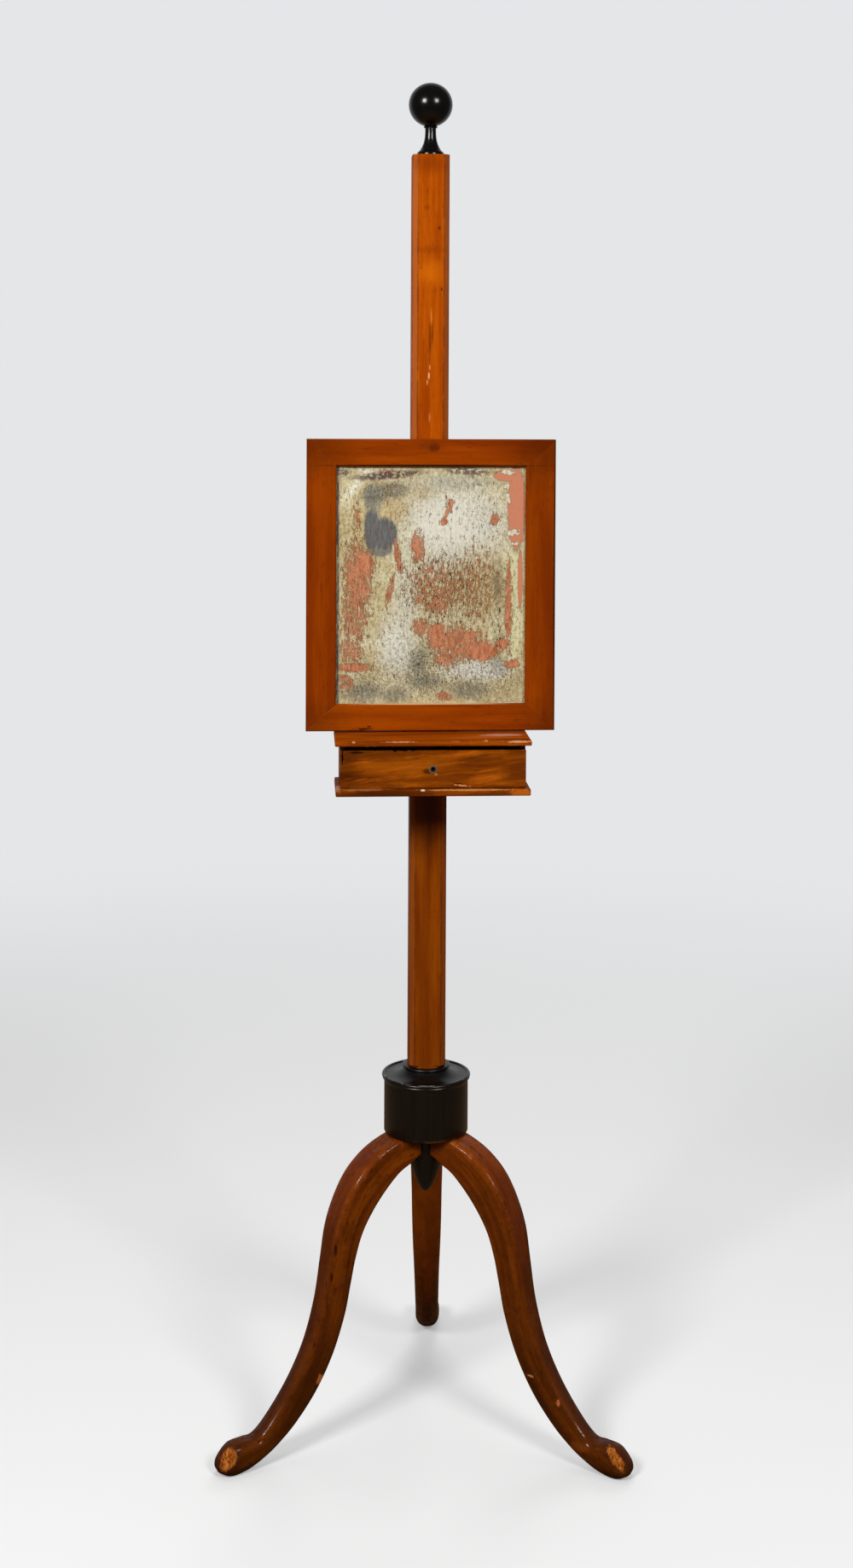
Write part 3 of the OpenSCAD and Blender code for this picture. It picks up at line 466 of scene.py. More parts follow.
def post_wood():
    """The post's orange mahogany, darker in bands and towards its foot, with rubbed arrises, painted light on
    its chamfers and a painted shadow below the box.
    """
    material, net, shader = new_material("post_mahogany")
    place = net.place()
    figure = net.effect(WOOD_FIGURE, Place=along(net, "z", place), Band=9 * MM, Stretch=16.0, Seed=1.3)
    _, _, height = net.split(place)
    upper = net.step(height, 0.8, 1.3)
    dark = net.blend(upper, tone(112, 46, 1), tone(146, 56, 1))
    light = net.blend(upper, tone(140, 66, 2), tone(182, 84, 2))
    colour = wood_colour(net, figure, dark, light, tone(84, 30, 2), 0.25)
    bands = net.noise(net.join(0.0, 0.0, height), 42.0, 4.0, 0.7)
    colour = net.tint(net.step(bands, 0.5, 0.72), 0.3, colour, tone(118, 42, 2))
    marks = net.effect(POST_ARRIS, Place=place, Centre=tuple(AXIS), Half=POST_HALF, Chamfer=POST_CHAMFER,
                       Width=1.5 * MM, Broken=0.3)
    edge = marks.outputs["Arris"]
    # Painted light on the chamfers: the left one lighter, facing the brighter lamp, the right one darker,
    # both fading towards the foot
    east = net.maths("GREATER_THAN", net.split(place)[0], AXIS.x)
    chamfer_light = net.times(marks.outputs["Chamfer"], net.between(upper, 0.18, 0.5))
    colour = net.blend(chamfer_light, colour, net.blend(east, tone(190, 108, 54), tone(158, 90, 50)))
    colour = add_patches(net, colour, place, POST_MARKS_AND_SHADOW)
    colour = net.tint(edge, 0.45, colour, tone(84, 34, 14))
    finish_wood(net, shader, colour, figure, edge, 0.36, 0.2)
    return material


# Chips and stains of the legs, with painted shade at the left leg's root under the drum. The last is painted
# light that makes the rear leg's front, which lies in the drum's shade, a little lighter
LEG_MARKS_SHADE_AND_LIGHT = [
    spot(by_axis(-130.5, -84.4, 88.8), (3.6, 9, 6.5), tone(204, 116, 56), 0.9, soft=0.3, ragged=0.8),
    spot(by_axis(-112, -78, 241), (1.8, 8, 7), tone(30, 11, 4), 0.85, soft=0.4),
    spot(by_axis(-117, -79.5, 209), (1.5, 8, 5), tone(34, 12, 4), 0.8, soft=0.4),
    spot(by_axis(-122, -80, 180), (1.2, 8, 10), tone(48, 18, 5), 0.6, soft=0.5),
    spot(by_axis(-142, -84, 150), (3, 12, 14), tone(52, 20, 6), 0.5, soft=0.7),
    spot(by_axis(151, -122, 72), (2.2, 8, 3.4), tone(188, 100, 60), 0.85, soft=0.4, ragged=0.9),
    spot(by_axis(120, -103.6, 96), (3.2, 8, 1.3), tone(204, 136, 80), 0.8, soft=0.4, ragged=0.8),
    spot(by_axis(172, -139.7, 27), (11, 12, 5), tone(140, 70, 24), 0.4, soft=0.6),
    spot(by_axis(112, -78, 236), (4, 12, 22), tone(128, 60, 20), 0.35, soft=0.7),
    # Painted shade on the left leg's root, under the drum
    spot(by_axis(-74, -45, 338), (16, 12, 10), tone(84, 30, 6), 0.45, soft=0.6),
    # Painted light on the rear leg's front, which lies in the drum's shade
    spot(by_axis(10, 130, 220), (34, 60, 130), tone(168, 78, 4), 0.28, soft=0.6)]
# Where the polish has gone from the fronts of the toes
BARE_TOES = [
    dict(at=by_axis(-237, -137.5, 21.5), half=(0.0088, 0.016, 0.0125), turn=math.radians(-22)),
    dict(at=by_axis(213, -165, 26), half=(0.0052, 0.018, 0.015), turn=math.radians(38))]


def leg_wood():
    """The legs' red-brown wood, browner towards the toes, worn along the upper arrises, with a painted sheen
    on the top faces and painted shade at the soles.
    """
    material, net, shader = new_material("leg_mahogany")
    place = net.place()
    grain = net.own("grain").outputs["Vector"]
    figure = net.effect(WOOD_FIGURE, Place=grain, Band=12 * MM, Stretch=12.0, Seed=2.1)
    down = net.own("down").outputs["Fac"]
    arris = net.own("arris").outputs["Fac"]
    top = net.own("top").outputs["Fac"]
    dark = net.blend(down, tone(98, 40, 2), tone(62, 26, 2))
    light = net.blend(down, tone(142, 66, 4), tone(102, 47, 4))
    colour = wood_colour(net, figure, dark, light, tone(40, 15, 3), 0.28)
    cloud = net.step(net.noise(place, 22.0, 5.0, 0.65), 0.46, 0.7)
    colour = net.tint(cloud, 0.5, colour, tone(66, 27, 2))
    mottle = net.step(net.noise(place, 130.0, 5.0, 0.8), 0.48, 0.64)
    colour = net.tint(mottle, net.between(down, 0.3, 0.55), colour, tone(58, 24, 8))
    # A painted sheen on the top faces, from the lamps above
    top_sheen = net.blend(down, tone(118, 46, 18), tone(66, 36, 26))
    colour = net.tint(top, 0.45, colour, top_sheen)
    freckles = net.effect(SPECKS, Place=grain, Spacing=9 * MM, Stretch=2.5, Size=0.22, Share=0.5).outputs[0]
    colour = net.tint(freckles, 0.5, colour, tone(40, 16, 5))
    broken = net.step(net.noise(place, 60.0, 5.0, 0.75), 0.52, 0.62)
    edge = net.times(arris, broken)
    colour = net.tint(edge, 0.5, colour, tone(176, 104, 56))
    colour = add_patches(net, colour, place, LEG_MARKS_SHADE_AND_LIGHT)
    fibres = net.noise(net.vector("MULTIPLY", place, (1.0, 1.0, 0.35)), 420.0, 5.0, 0.75)
    raw = net.blend(net.step(fibres, 0.46, 0.62), tone(144, 75, 22), tone(196, 120, 50))
    raw = net.blend(net.step(fibres, 0.46, 0.36), raw, tone(70, 30, 10))
    for bare in BARE_TOES:
        around = bare["half"][0] * 1.5, bare["half"][1], bare["half"][2] * 1.35
        dirty = net.effect(PATCH, Place=place, Centre=bare["at"], Half=around, Turn=bare["turn"],
                           Ragged=0.3, Soft=0.5, Grain=120.0).outputs[0]
        colour = net.tint(dirty, 0.7, colour, tone(62, 32, 22))
        mask = net.effect(PATCH, Place=place, Centre=bare["at"], Half=bare["half"], Turn=bare["turn"],
                          Ragged=0.4, Soft=0.25, Grain=150.0).outputs[0]
        colour = net.blend(mask, colour, raw)
        edge = net.maths("MAXIMUM", edge, dirty)
    _, _, height = net.split(place)
    # Painted shade at the soles, where they meet the floor
    colour = net.tint(net.step(height, 16 * MM, 3 * MM), 0.8, colour, tone(24, 12, 6))
    finish_wood(net, shader, colour, figure, edge, 0.34, 0.38, 0.8)
    return material


def ebonised(name, gloss, grey, lip=()):
    """Black-stained wood polished to the roughness gloss, with streaks as strong as grey.

    lip, where given, is the height and radius in mm of a rubbed arris of the drum, painted with a broken pale
    line as its highlight, and the drum is also worn brown at its foot.
    """
    material, net, shader = new_material(name)
    place = net.place()
    figure = net.effect(WOOD_FIGURE, Place=along(net, "z", place), Band=9 * MM, Stretch=5.0, Seed=4.0)
    cloud = net.noise(place, 26.0, 5.0, 0.6)
    colour = net.tint(figure.outputs["Streaks"], grey, tone(7, 5, 4), tone(30, 24, 20))
    rough = net.between(cloud, gloss, gloss + 0.14)
    if lip:
        lip_z, lip_r = lip
        x, y, z = net.split(net.vector("SUBTRACT", place, tuple(AXIS)))
        out = net.maths("SUBTRACT", net.vector("LENGTH", net.join(x, y, 0.0)), lip_r * MM)
        gap = net.vector("LENGTH", net.join(out, net.maths("SUBTRACT", z, lip_z * MM), 0.0))
        # A broken pale line round the rim's arris: painted highlight over the rubbed edge
        broken = net.step(net.noise(place, 95.0, 5.0, 0.7), 0.52, 0.62)
        rubbed_lip_highlight = net.times(net.step(gap, 1.5 * MM, 0.5 * MM), broken)
        colour = net.tint(rubbed_lip_highlight, 0.6, colour, tone(130, 124, 118))
        wavy = net.maths("ADD", z, net.times(cloud, 9 * MM))
        foot = net.step(wavy, 367 * MM, 362.5 * MM)
        colour = net.tint(foot, net.step(cloud, 0.5, 0.62), colour, tone(112, 58, 26))
    net.feed(shader.inputs["Base Color"], colour)
    net.feed(shader.inputs["Roughness"], rough)
    shader.inputs["Specular IOR Level"].default_value = 0.32
    return material


def deal_wood(node, axis):
    """Bare, yellowed softwood for the drawer and the mirror's back."""
    material, net, shader = new_material(node + "_deal")
    figure = net.effect(WOOD_FIGURE, Place=along(net, axis), Band=8 * MM, Stretch=12.0, Seed=6.0)
    colour = wood_colour(net, figure, tone(122, 84, 48), tone(178, 134, 84), tone(80, 52, 30), 0.3)
    stain = net.step(net.noise(net.place(), 14.0, 4.0, 0.6), 0.5, 0.75)
    colour = net.tint(stain, 0.4, colour, tone(92, 62, 38))
    net.feed(shader.inputs["Base Color"], colour)
    shader.inputs["Roughness"].default_value = 0.72
    return material


def aged_brass():
    """Dull brass, brown in places."""
    material, net, shader = new_material("aged_brass")
    place = net.place()
    tarnish = net.step(net.noise(place, 160.0, 4.0, 0.6), 0.4, 0.7)
    net.feed(shader.inputs["Base Color"], net.blend(tarnish, tone(196, 158, 82), tone(104, 78, 42)))
    net.feed(shader.inputs["Roughness"], net.between(tarnish, 0.3, 0.62))
    shader.inputs["Metallic"].default_value = 1.0
    return material


def worn_leather():
    """The leather of the rest buttons."""
    material, net, shader = new_material("worn_leather")
    place = net.place()
    mottle = net.noise(place, 300.0, 4.0, 0.6)
    net.feed(shader.inputs["Base Color"], net.blend(mottle, tone(66, 42, 26), tone(120, 84, 52)))
    shader.inputs["Roughness"].default_value = 0.8
    return material


def yellowed_bone():
    """The drawer's bone ring, yellow at its rim and dark towards its middle."""
    material, net, shader = new_material("yellowed_bone")
    place = net.place()
    centre = middle("knob_ferrule")
    away = net.vector("MULTIPLY", net.vector("SUBTRACT", place, tuple(centre)), (1.0, 0.0, 1.0))
    inner = net.step(net.vector("LENGTH", away), 4.4 * MM, 3.0 * MM)
    mottle = net.noise(place, 420.0, 3.0, 0.6)
    colour = net.blend(mottle, tone(88, 60, 34), tone(132, 102, 66))
    net.feed(shader.inputs["Base Color"], net.blend(inner, colour, tone(36, 24, 16)))
    shader.inputs["Roughness"].default_value = 0.45
    return material


# ---- Mesh helpers ----


def linked(name, data):
    """A new object with its data, in the scene."""
    made = bpy.data.objects.new(name, data)
    bpy.context.scene.collection.objects.link(made)
    return made


def mesh_from(shape, name):
    """The mesh of an edited shape, which is freed."""
    mesh = bpy.data.meshes.new(name)
    shape.to_mesh(mesh)
    shape.free()
    return mesh


def add_piece(mesh, name, material, body, slot, *replaced):
    """Puts a finished mesh in the scene as a piece that rides on body and stands for the replaced nodes."""
    mesh.name = name
    mesh.materials.clear()
    mesh.materials.append(material)
    piece = linked(name, mesh)
    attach(piece, body)
    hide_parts(*replaced)
    return piece


def shade_smooth(mesh, sharp_over=38):
    """Shades a mesh smooth but for edges sharper than an angle in degrees."""
    mesh.shade_smooth()
    mesh.set_sharp_from_angle(angle=math.radians(sharp_over))


def turned_mesh(profile, centre, axis="z", around=128):
    """A turned solid. profile is (radius, place along the axis) from end to end, in mm from centre."""
    shape = bmesh.new()
    rings = []
    for radius, height in profile:
        if radius <= 0:
            rings.append([shape.verts.new((0, 0, height * MM))])
            continue
        ring = []
        for step in range(around):
            angle = 2 * math.pi * step / around
            x = radius * MM * math.cos(angle)
            y = radius * MM * math.sin(angle)
            ring.append(shape.verts.new((x, y, height * MM)))
        rings.append(ring)
    for below, above in zip(rings, rings[1:]):
        for step in range(around):
            after = (step + 1) % around
            if len(below) == 1:
                shape.faces.new((below[0], above[after], above[step]))
            elif len(above) == 1:
                shape.faces.new((below[step], below[after], above[0]))
            else:
                shape.faces.new((below[step], below[after], above[after], above[step]))
    bmesh.ops.recalc_face_normals(shape, faces=shape.faces)
    if axis == "y":
        bmesh.ops.rotate(shape, verts=shape.verts, matrix=Matrix.Rotation(-math.pi / 2, 3, "X"))
    bmesh.ops.translate(shape, verts=shape.verts, vec=centre)
    mesh = mesh_from(shape, "turned")
    shade_smooth(mesh)
    return mesh


def arc(centre_r, centre_z, radius, start, end, steps):
    """Points round an arc, from the angle start to end in degrees."""
    points = []
    for step in range(steps + 1):
        angle = math.radians(start + (end - start) * step / steps)
        points.append((centre_r + radius * math.cos(angle), centre_z + radius * math.sin(angle)))
    return points


def merged_mesh(node):
    """A welded copy of a node's mesh, with its flat faces whole."""
    shape = bmesh.new()
    shape.from_mesh(frame["nodes"][node].data)
    bmesh.ops.remove_doubles(shape, verts=shape.verts, dist=0.000002)
    bmesh.ops.dissolve_limit(shape, angle_limit=math.radians(0.5), verts=shape.verts, edges=shape.edges)
    mesh = mesh_from(shape, node)
    for layer in ("custom_normal", "sharp_edge", "sharp_face"):
        if layer in mesh.attributes:
            mesh.attributes.remove(mesh.attributes[layer])
    return mesh


def finished_mesh(mesh, *modifiers):
    """The mesh after its modifiers, each a kind and a table of settings."""
    holder = linked("holder", mesh)
    for kind, settings in modifiers:
        modifier = holder.modifiers.new(kind.lower(), kind)
        for name, value in settings.items():
            setattr(modifier, name, value)
    bpy.context.view_layer.update()
    result = bpy.data.meshes.new_from_object(holder.evaluated_get(bpy.context.evaluated_depsgraph_get()))
    bpy.data.objects.remove(holder)
    return result


def eased_mesh(node, ease):
    """A node's own shape with every edge rounded over by ease, in mm."""
    mesh = merged_mesh(node)
    mesh.shade_smooth()
    bevel = ("BEVEL", {"width": ease * MM, "segments": 3, "limit_method": "ANGLE",
                       "angle_limit": math.radians(25), "harden_normals": True, "use_clamp_overlap": True})
    return finished_mesh(mesh, bevel)


def eased_piece(node, material, slot, ease):
    """The node's eased copy in its place."""
    body = frame["nodes"][node]["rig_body"]
    return add_piece(eased_mesh(node, ease), node + "_eased", material, body, slot, node)


def dress(node, material):
    """Gives a node that keeps its shape a better material."""
    data = frame["nodes"][node].data
    if not data.materials:
        data.materials.append(material)
    for number in range(len(data.materials)):
        data.materials[number] = material


# ---- Stand ----


def turned_finial():
    """The black ball finial on its waisted neck."""
    ball_r = 26.8
    collar_r = 16.5
    collar_h = 4.0
    neck_r = 6.7
    bead_h = 2.5
    ease = 0.8
    height = (high("finial").z - high("post").z) / MM
    ball_z = height - ball_r
    neck_end = ball_z - math.sqrt(ball_r ** 2 - neck_r ** 2)
    neck_h = neck_end - bead_h - collar_h
    profile = [(0, 0), (collar_r - ease, 0), (collar_r, ease), (collar_r, collar_h - 1.5 * ease),
               (collar_r - ease, collar_h)]
    steps = 14
    for step in range(1, steps + 1):
        share = step / steps
        flare = (collar_r - 2 * ease - neck_r) * (1 - share) ** 3
        profile.append((neck_r + flare, collar_h + neck_h * share))
    bead_z = collar_h + neck_h + 1.2
    profile += [(neck_r + 1.2, bead_z - 1.0), (neck_r + 1.8, bead_z), (neck_r + 1.2, bead_z + 1.0)]
    seat = -math.degrees(math.acos((neck_r + 0.6) / ball_r))
    profile += arc(0, ball_z, ball_r, seat, 89.5, 40)
    profile.append((0, height))
    mesh = turned_mesh(profile, Vector((AXIS.x, AXIS.y, high("post").z)))
    gloss = ebonised("ebonised_gloss", 0.13, 0.1)
    return add_piece(mesh, "turned_finial", gloss, "stand", "ebonised", "finial")


def turned_drum():
    """The black drum, its moulded rim, the dished top and the neck under the post."""
    hub_r = 51.6
    rim_r = 54.4
    bottom = HUB_BOTTOM / MM
    top = high("hub_drum").z / MM
    rim_z = 424.0
    dish_z = 429.0
    neck_r = 29.5
    neck_z = 436.0
    bead = (top - neck_z) / 2
    flare_r = 2.2
    flare_h = 5
    rim_bead = 2.5
    profile = [(0, bottom), (hub_r - 1.0, bottom), (hub_r - 0.3, bottom + 0.3), (hub_r, bottom + 1.0),
               (hub_r, rim_z - flare_h)]
    for share in (0.25, 0.5, 0.75, 1):
        profile.append((hub_r + flare_r * share * share, rim_z - flare_h * (1 - share)))
    profile += arc(rim_r - rim_bead, rim_z + rim_bead, rim_bead, -50, 90, 10)
    lip = rim_r - 4.2
    profile.append((lip, dish_z - 0.2))
    dish_r = lip - 0.6
    dish_low = dish_z - 1.2
    neck_foot = neck_r - bead
    steps = 12
    for step in range(steps + 1):
        share = step / steps
        profile.append((dish_r + (neck_foot - dish_r) * share, dish_low + (neck_z - dish_low) * share ** 3))
    profile += arc(neck_foot, neck_z + bead, bead, -80, 80, 8)
    profile += [(neck_foot, top), (0, top)]
    mesh = turned_mesh(profile, Vector((AXIS.x, AXIS.y, 0)))
    satin = ebonised("ebonised_satin", 0.22, 0.3, (dish_z, 53))
    return add_piece(mesh, "turned_drum", satin, "stand", "ebonised", "hub_drum")


def turned_drop():
    """The bud under the drum, between the legs."""
    drop_r = 22.2
    core_h = 33.0
    bottom = low("pendant_drop").z / MM
    top = HUB_BOTTOM / MM
    bud_z = top - core_h
    profile = [(0, top), (drop_r, top), (drop_r, bud_z)]
    steps = 24
    for step in range(1, steps + 1):
        share = step / steps
        radius = drop_r * math.sqrt(max(0, 1 - share * share)) * (1 - 0.22 * share)
        profile.append((radius, bud_z - (bud_z - bottom) * (0.35 * share + 0.65 * share * share)))
    mesh = turned_mesh(profile, Vector((AXIS.x, AXIS.y, 0)))
    dull = ebonised("ebonised_drop", 0.3, 0.1)
    return add_piece(mesh, "turned_drop", dull, "stand", "ebonised", "pendant_drop")


LEG_W = 41.0
# A leg's side outline from root to toe, in mm: outer r and z, under r and z, share of LEG_W, squareness
LEG_OUTLINE = [
    (19, 358, 19, 334, 1, 9),
    (36, 358, 34, 325, 1, 9),
    (51, 356.5, 49, 316, 1, 8),
    (79, 344, 67, 298, 1, 7),
    (104, 323, 84, 276, 1, 6),
    (122, 295, 97, 252, 0.98, 5),
    (135, 263, 105, 224, 0.95, 4),
    (142, 225, 111, 194, 0.93, 3.5),
    (151, 178, 118, 157, 0.88, 3),
    (166, 132, 133, 113, 0.8, 2.8),
    (187, 93, 155, 73, 0.76, 2.6),
    (214, 57, 182, 41, 0.74, 2.5),
    (235, 37, 206, 21, 0.75, 2.4),
    (250, 36, 225, 9, 0.77, 2.4),
    (268, 34, 243, 1, 0.78, 2.4),
    (281, 21, 260, -2, 0.74, 2.3),
    (284, 11, 270, -0.5, 0.6, 2.2),
    (282, 5, 276, 2.5, 0.3, 2)]
# The way each leg points, in degrees from +X
LEG_ANGLES = {"leg_left": 207.6, "leg_right": 324.9, "leg_rear": 85.7}


def smooth_row(rows, number, share):
    """A row on the smooth curve through the rows, a share past the numbered one."""
    here = rows[number]
    after = rows[number + 1]
    before = rows[number - 1] if number else [2 * a - b for a, b in zip(here, after)]
    beyond = rows[number + 2] if number + 2 < len(rows) else [2 * b - a for a, b in zip(here, after)]
    row = []
    for a, b, c, d in zip(before, here, after, beyond):
        cubic = 1.5 * (b - c) + (d - a) / 2
        row.append(b + share * ((c - a) / 2 + share * (a - 2.5 * b + 2 * c - d / 2 + share * cubic)))
    return row


def eased_power(value, power):
    """A power that keeps the sign of its value."""
    return math.copysign(abs(value) ** power, value)


def leg_mesh(angle, seed):
    """A sabre leg: rings of a section that runs from a square root to a round toe.

    Its points hold where they lie along the grain, how far down the leg, and how near an arris or the top.
    """
    per_span = 8
    around = 64
    reach = 330
    rows = []
    for number in range(len(LEG_OUTLINE) - 1):
        rows += [smooth_row(LEG_OUTLINE, number, step / per_span) for step in range(per_span)]
    rows.append(list(LEG_OUTLINE[-1]))
    turn = Matrix.Rotation(math.radians(angle), 3, "Z")
    shape = bmesh.new()
    grain = shape.verts.layers.float_vector.new("grain")
    down = shape.verts.layers.float.new("down")
    arris = shape.verts.layers.float.new("arris")
    top = shape.verts.layers.float.new("top")
    rings = []
    length = 0
    last_mid = None
    for row in rows:
        mid = Vector(((row[0] + row[2]) / 2, (row[1] + row[3]) / 2))
        half = Vector(((row[0] - row[2]) / 2, (row[1] - row[3]) / 2))
        length += (mid - last_mid).length if last_mid else 0
        last_mid = mid
        ring = []
        for step in range(around):
            turn_by = 2 * math.pi * step / around
            across = eased_power(math.cos(turn_by), 2 / row[5])
            up = eased_power(math.sin(turn_by), 2 / row[5])
            side = LEG_W * row[4] / 2 * across
            flat = mid + half * up
            point = Vector((flat.x, side, min(LEG_TOP, max(0, flat.y)))) * MM
            vertex = shape.verts.new(turn @ point + AXIS)
            vertex[grain] = Vector((side + 70 * seed, half.length * up, length)) * MM
            vertex[down] = min(1, length / reach)
            vertex[arris] = max(0, min(1, (up + abs(across) - 1.62) / 0.3)) if up > 0 else 0
            vertex[top] = max(0, min(1, (up - 0.8) / 0.2)) * (1 if length > 60 else 0.3)
            ring.append(vertex)
        rings.append(ring)
    for before, after in zip(rings, rings[1:]):
        for step in range(around):
            beside = (step + 1) % around
            shape.faces.new((before[step], before[beside], after[beside], after[step]))
    shape.faces.new(rings[0])
    shape.faces.new(rings[-1])
    bmesh.ops.recalc_face_normals(shape, faces=shape.faces)
    mesh = mesh_from(shape, "leg")
    shade_smooth(mesh, 50)
    return mesh


def sabre_legs():
    wood = leg_wood()
    for seed, (node, angle) in enumerate(LEG_ANGLES.items()):
        add_piece(leg_mesh(angle, seed), "sabre_" + node, wood, "stand", "leg_mahogany", node)


def square_post():
    return eased_piece("post", post_wood(), "mahogany", 0.7)


# ---- Carriage, box and drawer ----


def carriage_boards():
    grains = {"carriage_board": "z", "upper_back": "x", "lower_back": "x", "upper_cheek_left": "z",
              "upper_cheek_right": "z", "lower_cheek_left": "z", "lower_cheek_right": "z", "case_back": "x"}
    for seed, (node, axis) in enumerate(grains.items()):
        wood = board_wood(node, axis, tone(92, 38, 2), tone(132, 60, 4), tone(150, 84, 34), seed)
        slot = "box_mahogany" if node == "case_back" else "mahogany"
        eased_piece(node, wood, slot, 0.6)


# Rubbed, chipped and stained places of the box and its lid, and painted light on its left side
LID_MARKS = [
    spot(by_axis(84, -76, 858), (25, 8, 6), tone(206, 146, 122), 0.75, soft=0.25, ragged=0.3),
    spot(by_axis(60, -90, 858), (30, 3, 4), tone(186, 110, 74), 0.5, soft=0.6, ragged=0.6),
    spot(by_axis(-60, -100, 858), (40, 10, 4), tone(168, 84, 20), 0.5, soft=0.7),
    spot(by_axis(-94, -116, 857.5), (1.6, 3, 0.9), tone(218, 158, 108), 0.8, soft=0.4, ragged=0.9),
    spot(by_axis(-40, -116, 857.5), (16, 3, 0.8), tone(214, 140, 84), 0.7, soft=0.3, ragged=0.9),
    spot(by_axis(62, -114, 858), (1.6, 4, 1.0), tone(224, 168, 120), 0.8, soft=0.4, ragged=0.9),
    spot(by_axis(102, -116, 857), (14, 5, 1.2), tone(222, 156, 106), 0.75, soft=0.4, ragged=0.7),
    spot(by_axis(0, -117, 853), (112, 2, 1.4), tone(90, 32, 2), 0.5, soft=0.6)]
BOTTOM_MARKS = [
    spot(by_axis(40, -116.5, 800.6), (52, 4, 1.1), tone(214, 150, 84), 0.6, soft=0.3, ragged=0.6),
    spot(by_axis(-84, -112, 801), (30, 8, 1.0), tone(196, 124, 66), 0.5, soft=0.3, ragged=0.8),
    spot(by_axis(-13, -116.6, 800.3), (2.4, 4, 1.0), tone(244, 224, 196), 0.9, soft=0.3, ragged=0.8),
    spot(by_axis(-112, -100, 799), (4, 14, 5), tone(212, 150, 108), 0.7, soft=0.5, ragged=0.5),
    spot(by_axis(104, -116.5, 797), (14, 6, 4.5), tone(196, 98, 24), 0.7, soft=0.4),
    spot(by_axis(-50, -116.5, 796), (44, 6, 4), tone(66, 26, 4), 0.6, soft=0.5),
    spot(by_axis(60, -116.5, 795), (30, 6, 2.4), tone(74, 28, 4), 0.5, soft=0.5)]
SIDE_MARKS_AND_LIGHT = [
    # Painted light on the left side board's front, which faces the brighter lamp
    spot(by_axis(-110, -108, 826), (6, 5, 26), tone(240, 200, 170), 0.95, soft=0.1, ragged=0.1),
    spot(by_axis(110, -108, 826), (6, 5, 26), tone(150, 74, 20), 0.6, soft=0.2)]


def box_boards():
    finishes = {"lid_board": ("x", 1.2, LID_MARKS), "case_bottom": ("x", 1.2, BOTTOM_MARKS),
                "case_side_left": ("y", 0.6, SIDE_MARKS_AND_LIGHT), "case_side_right": ("y", 0.6, SIDE_MARKS_AND_LIGHT)}
    for seed, (node, (axis, ease, marks)) in enumerate(finishes.items()):
        lighter = node == "lid_board"
        dark = tone(118, 46, 2) if lighter else tone(86, 34, 2)
        light = tone(178, 84, 6) if lighter else tone(146, 68, 6)
        wood = board_wood(node, axis, dark, light, tone(196, 122, 62), seed + 11, patches=marks)
        eased_piece(node, wood, "box_mahogany", ease)


def drawer_mark(x, z, half_x, half_z, colour, strength, soft=0.4, ragged=0.3, turn=0.0):
    """A patch on the drawer's front."""
    return spot(by_axis(x, -108, z), (half_x, 6, half_z), colour, strength, soft=soft, ragged=ragged,
                turn=math.radians(turn))


DRAWER_MARKS_SHADE_AND_GLINT = [
    drawer_mark(-105, 826, 16, 34, tone(56, 21, 3), 0.6, 0.7),
    # Painted shade along the top, under the lid's overhang
    drawer_mark(-62, 842, 46, 7, tone(58, 21, 3), 0.6, 0.7),
    drawer_mark(-70, 806, 34, 4, tone(70, 26, 3), 0.5, 0.7, 0.5, -4),
    drawer_mark(104, 826, 16, 34, tone(76, 30, 4), 0.5, 0.7),
    drawer_mark(56, 836, 30, 4, tone(70, 26, 4), 0.5, 0.6, 0.5, 6),
    drawer_mark(60, 812, 22, 5, tone(186, 94, 14), 0.4, 0.7, 0.5, 9),
    drawer_mark(-20, 826, 26, 5, tone(182, 92, 14), 0.35, 0.7, 0.5, 6),
    drawer_mark(35, 804, 8, 0.9, tone(214, 146, 100), 0.8, 0.3, 0.9, -8),
    drawer_mark(30, 806.5, 5, 0.7, tone(40, 16, 5), 0.8, 0.3, 0.6, -8),
    drawer_mark(-7, 821, 4.5, 3, tone(40, 18, 6), 0.75, 0.5),
    # A painted highlight by the bone ring
    drawer_mark(3.5, 817.5, 1.8, 1.2, tone(222, 160, 90), 0.5, 0.5, 0.8),
    # Black lines along the top and left edges: painted shade of the gaps round the front
    drawer_mark(-45, 846, 2.6, 1.4, tone(8, 4, 2), 1.0, 0.2, 0.8),
    drawer_mark(-30, 845.9, 10, 0.9, tone(14, 7, 3), 0.9, 0.3),
    drawer_mark(-90, 844, 9, 1.2, tone(14, 7, 3), 0.9, 0.3),
    drawer_mark(-107, 838, 0.9, 8, tone(8, 4, 2), 1.0, 0.2, 0.7)]


def drawer_boards():
    """The drawer's flamed front and its plain softwood sides, back and bottom."""
    front = board_wood("drawer_front", "x", tone(98, 40, 2), tone(160, 80, 6), tone(150, 84, 34), 21,
                       edge_width=0.8, patches=DRAWER_MARKS_SHADE_AND_GLINT, flame=tone(188, 92, 14))
    eased_piece("drawer_front", front, "box_mahogany", 0.5)
    for node, axis in {"drawer_side_left": "y", "drawer_side_right": "y", "drawer_back": "x",
                       "drawer_bottom": "x"}.items():
        eased_piece(node, deal_wood(node, axis), "deal", 0.3)


def frame_mark(u, v, half_u, half_v, colour, strength, soft=0.5, ragged=0.3):
    """A patch on the mirror frame's front, from the lower left corner of the sight."""
    at = (GLASS_CORNER.x + u * MM, low("frame_top_rail").y, GLASS_CORNER.z + v * MM)
    return spot(at, (half_u, 8, half_v), colour, strength, soft=soft, ragged=ragged)


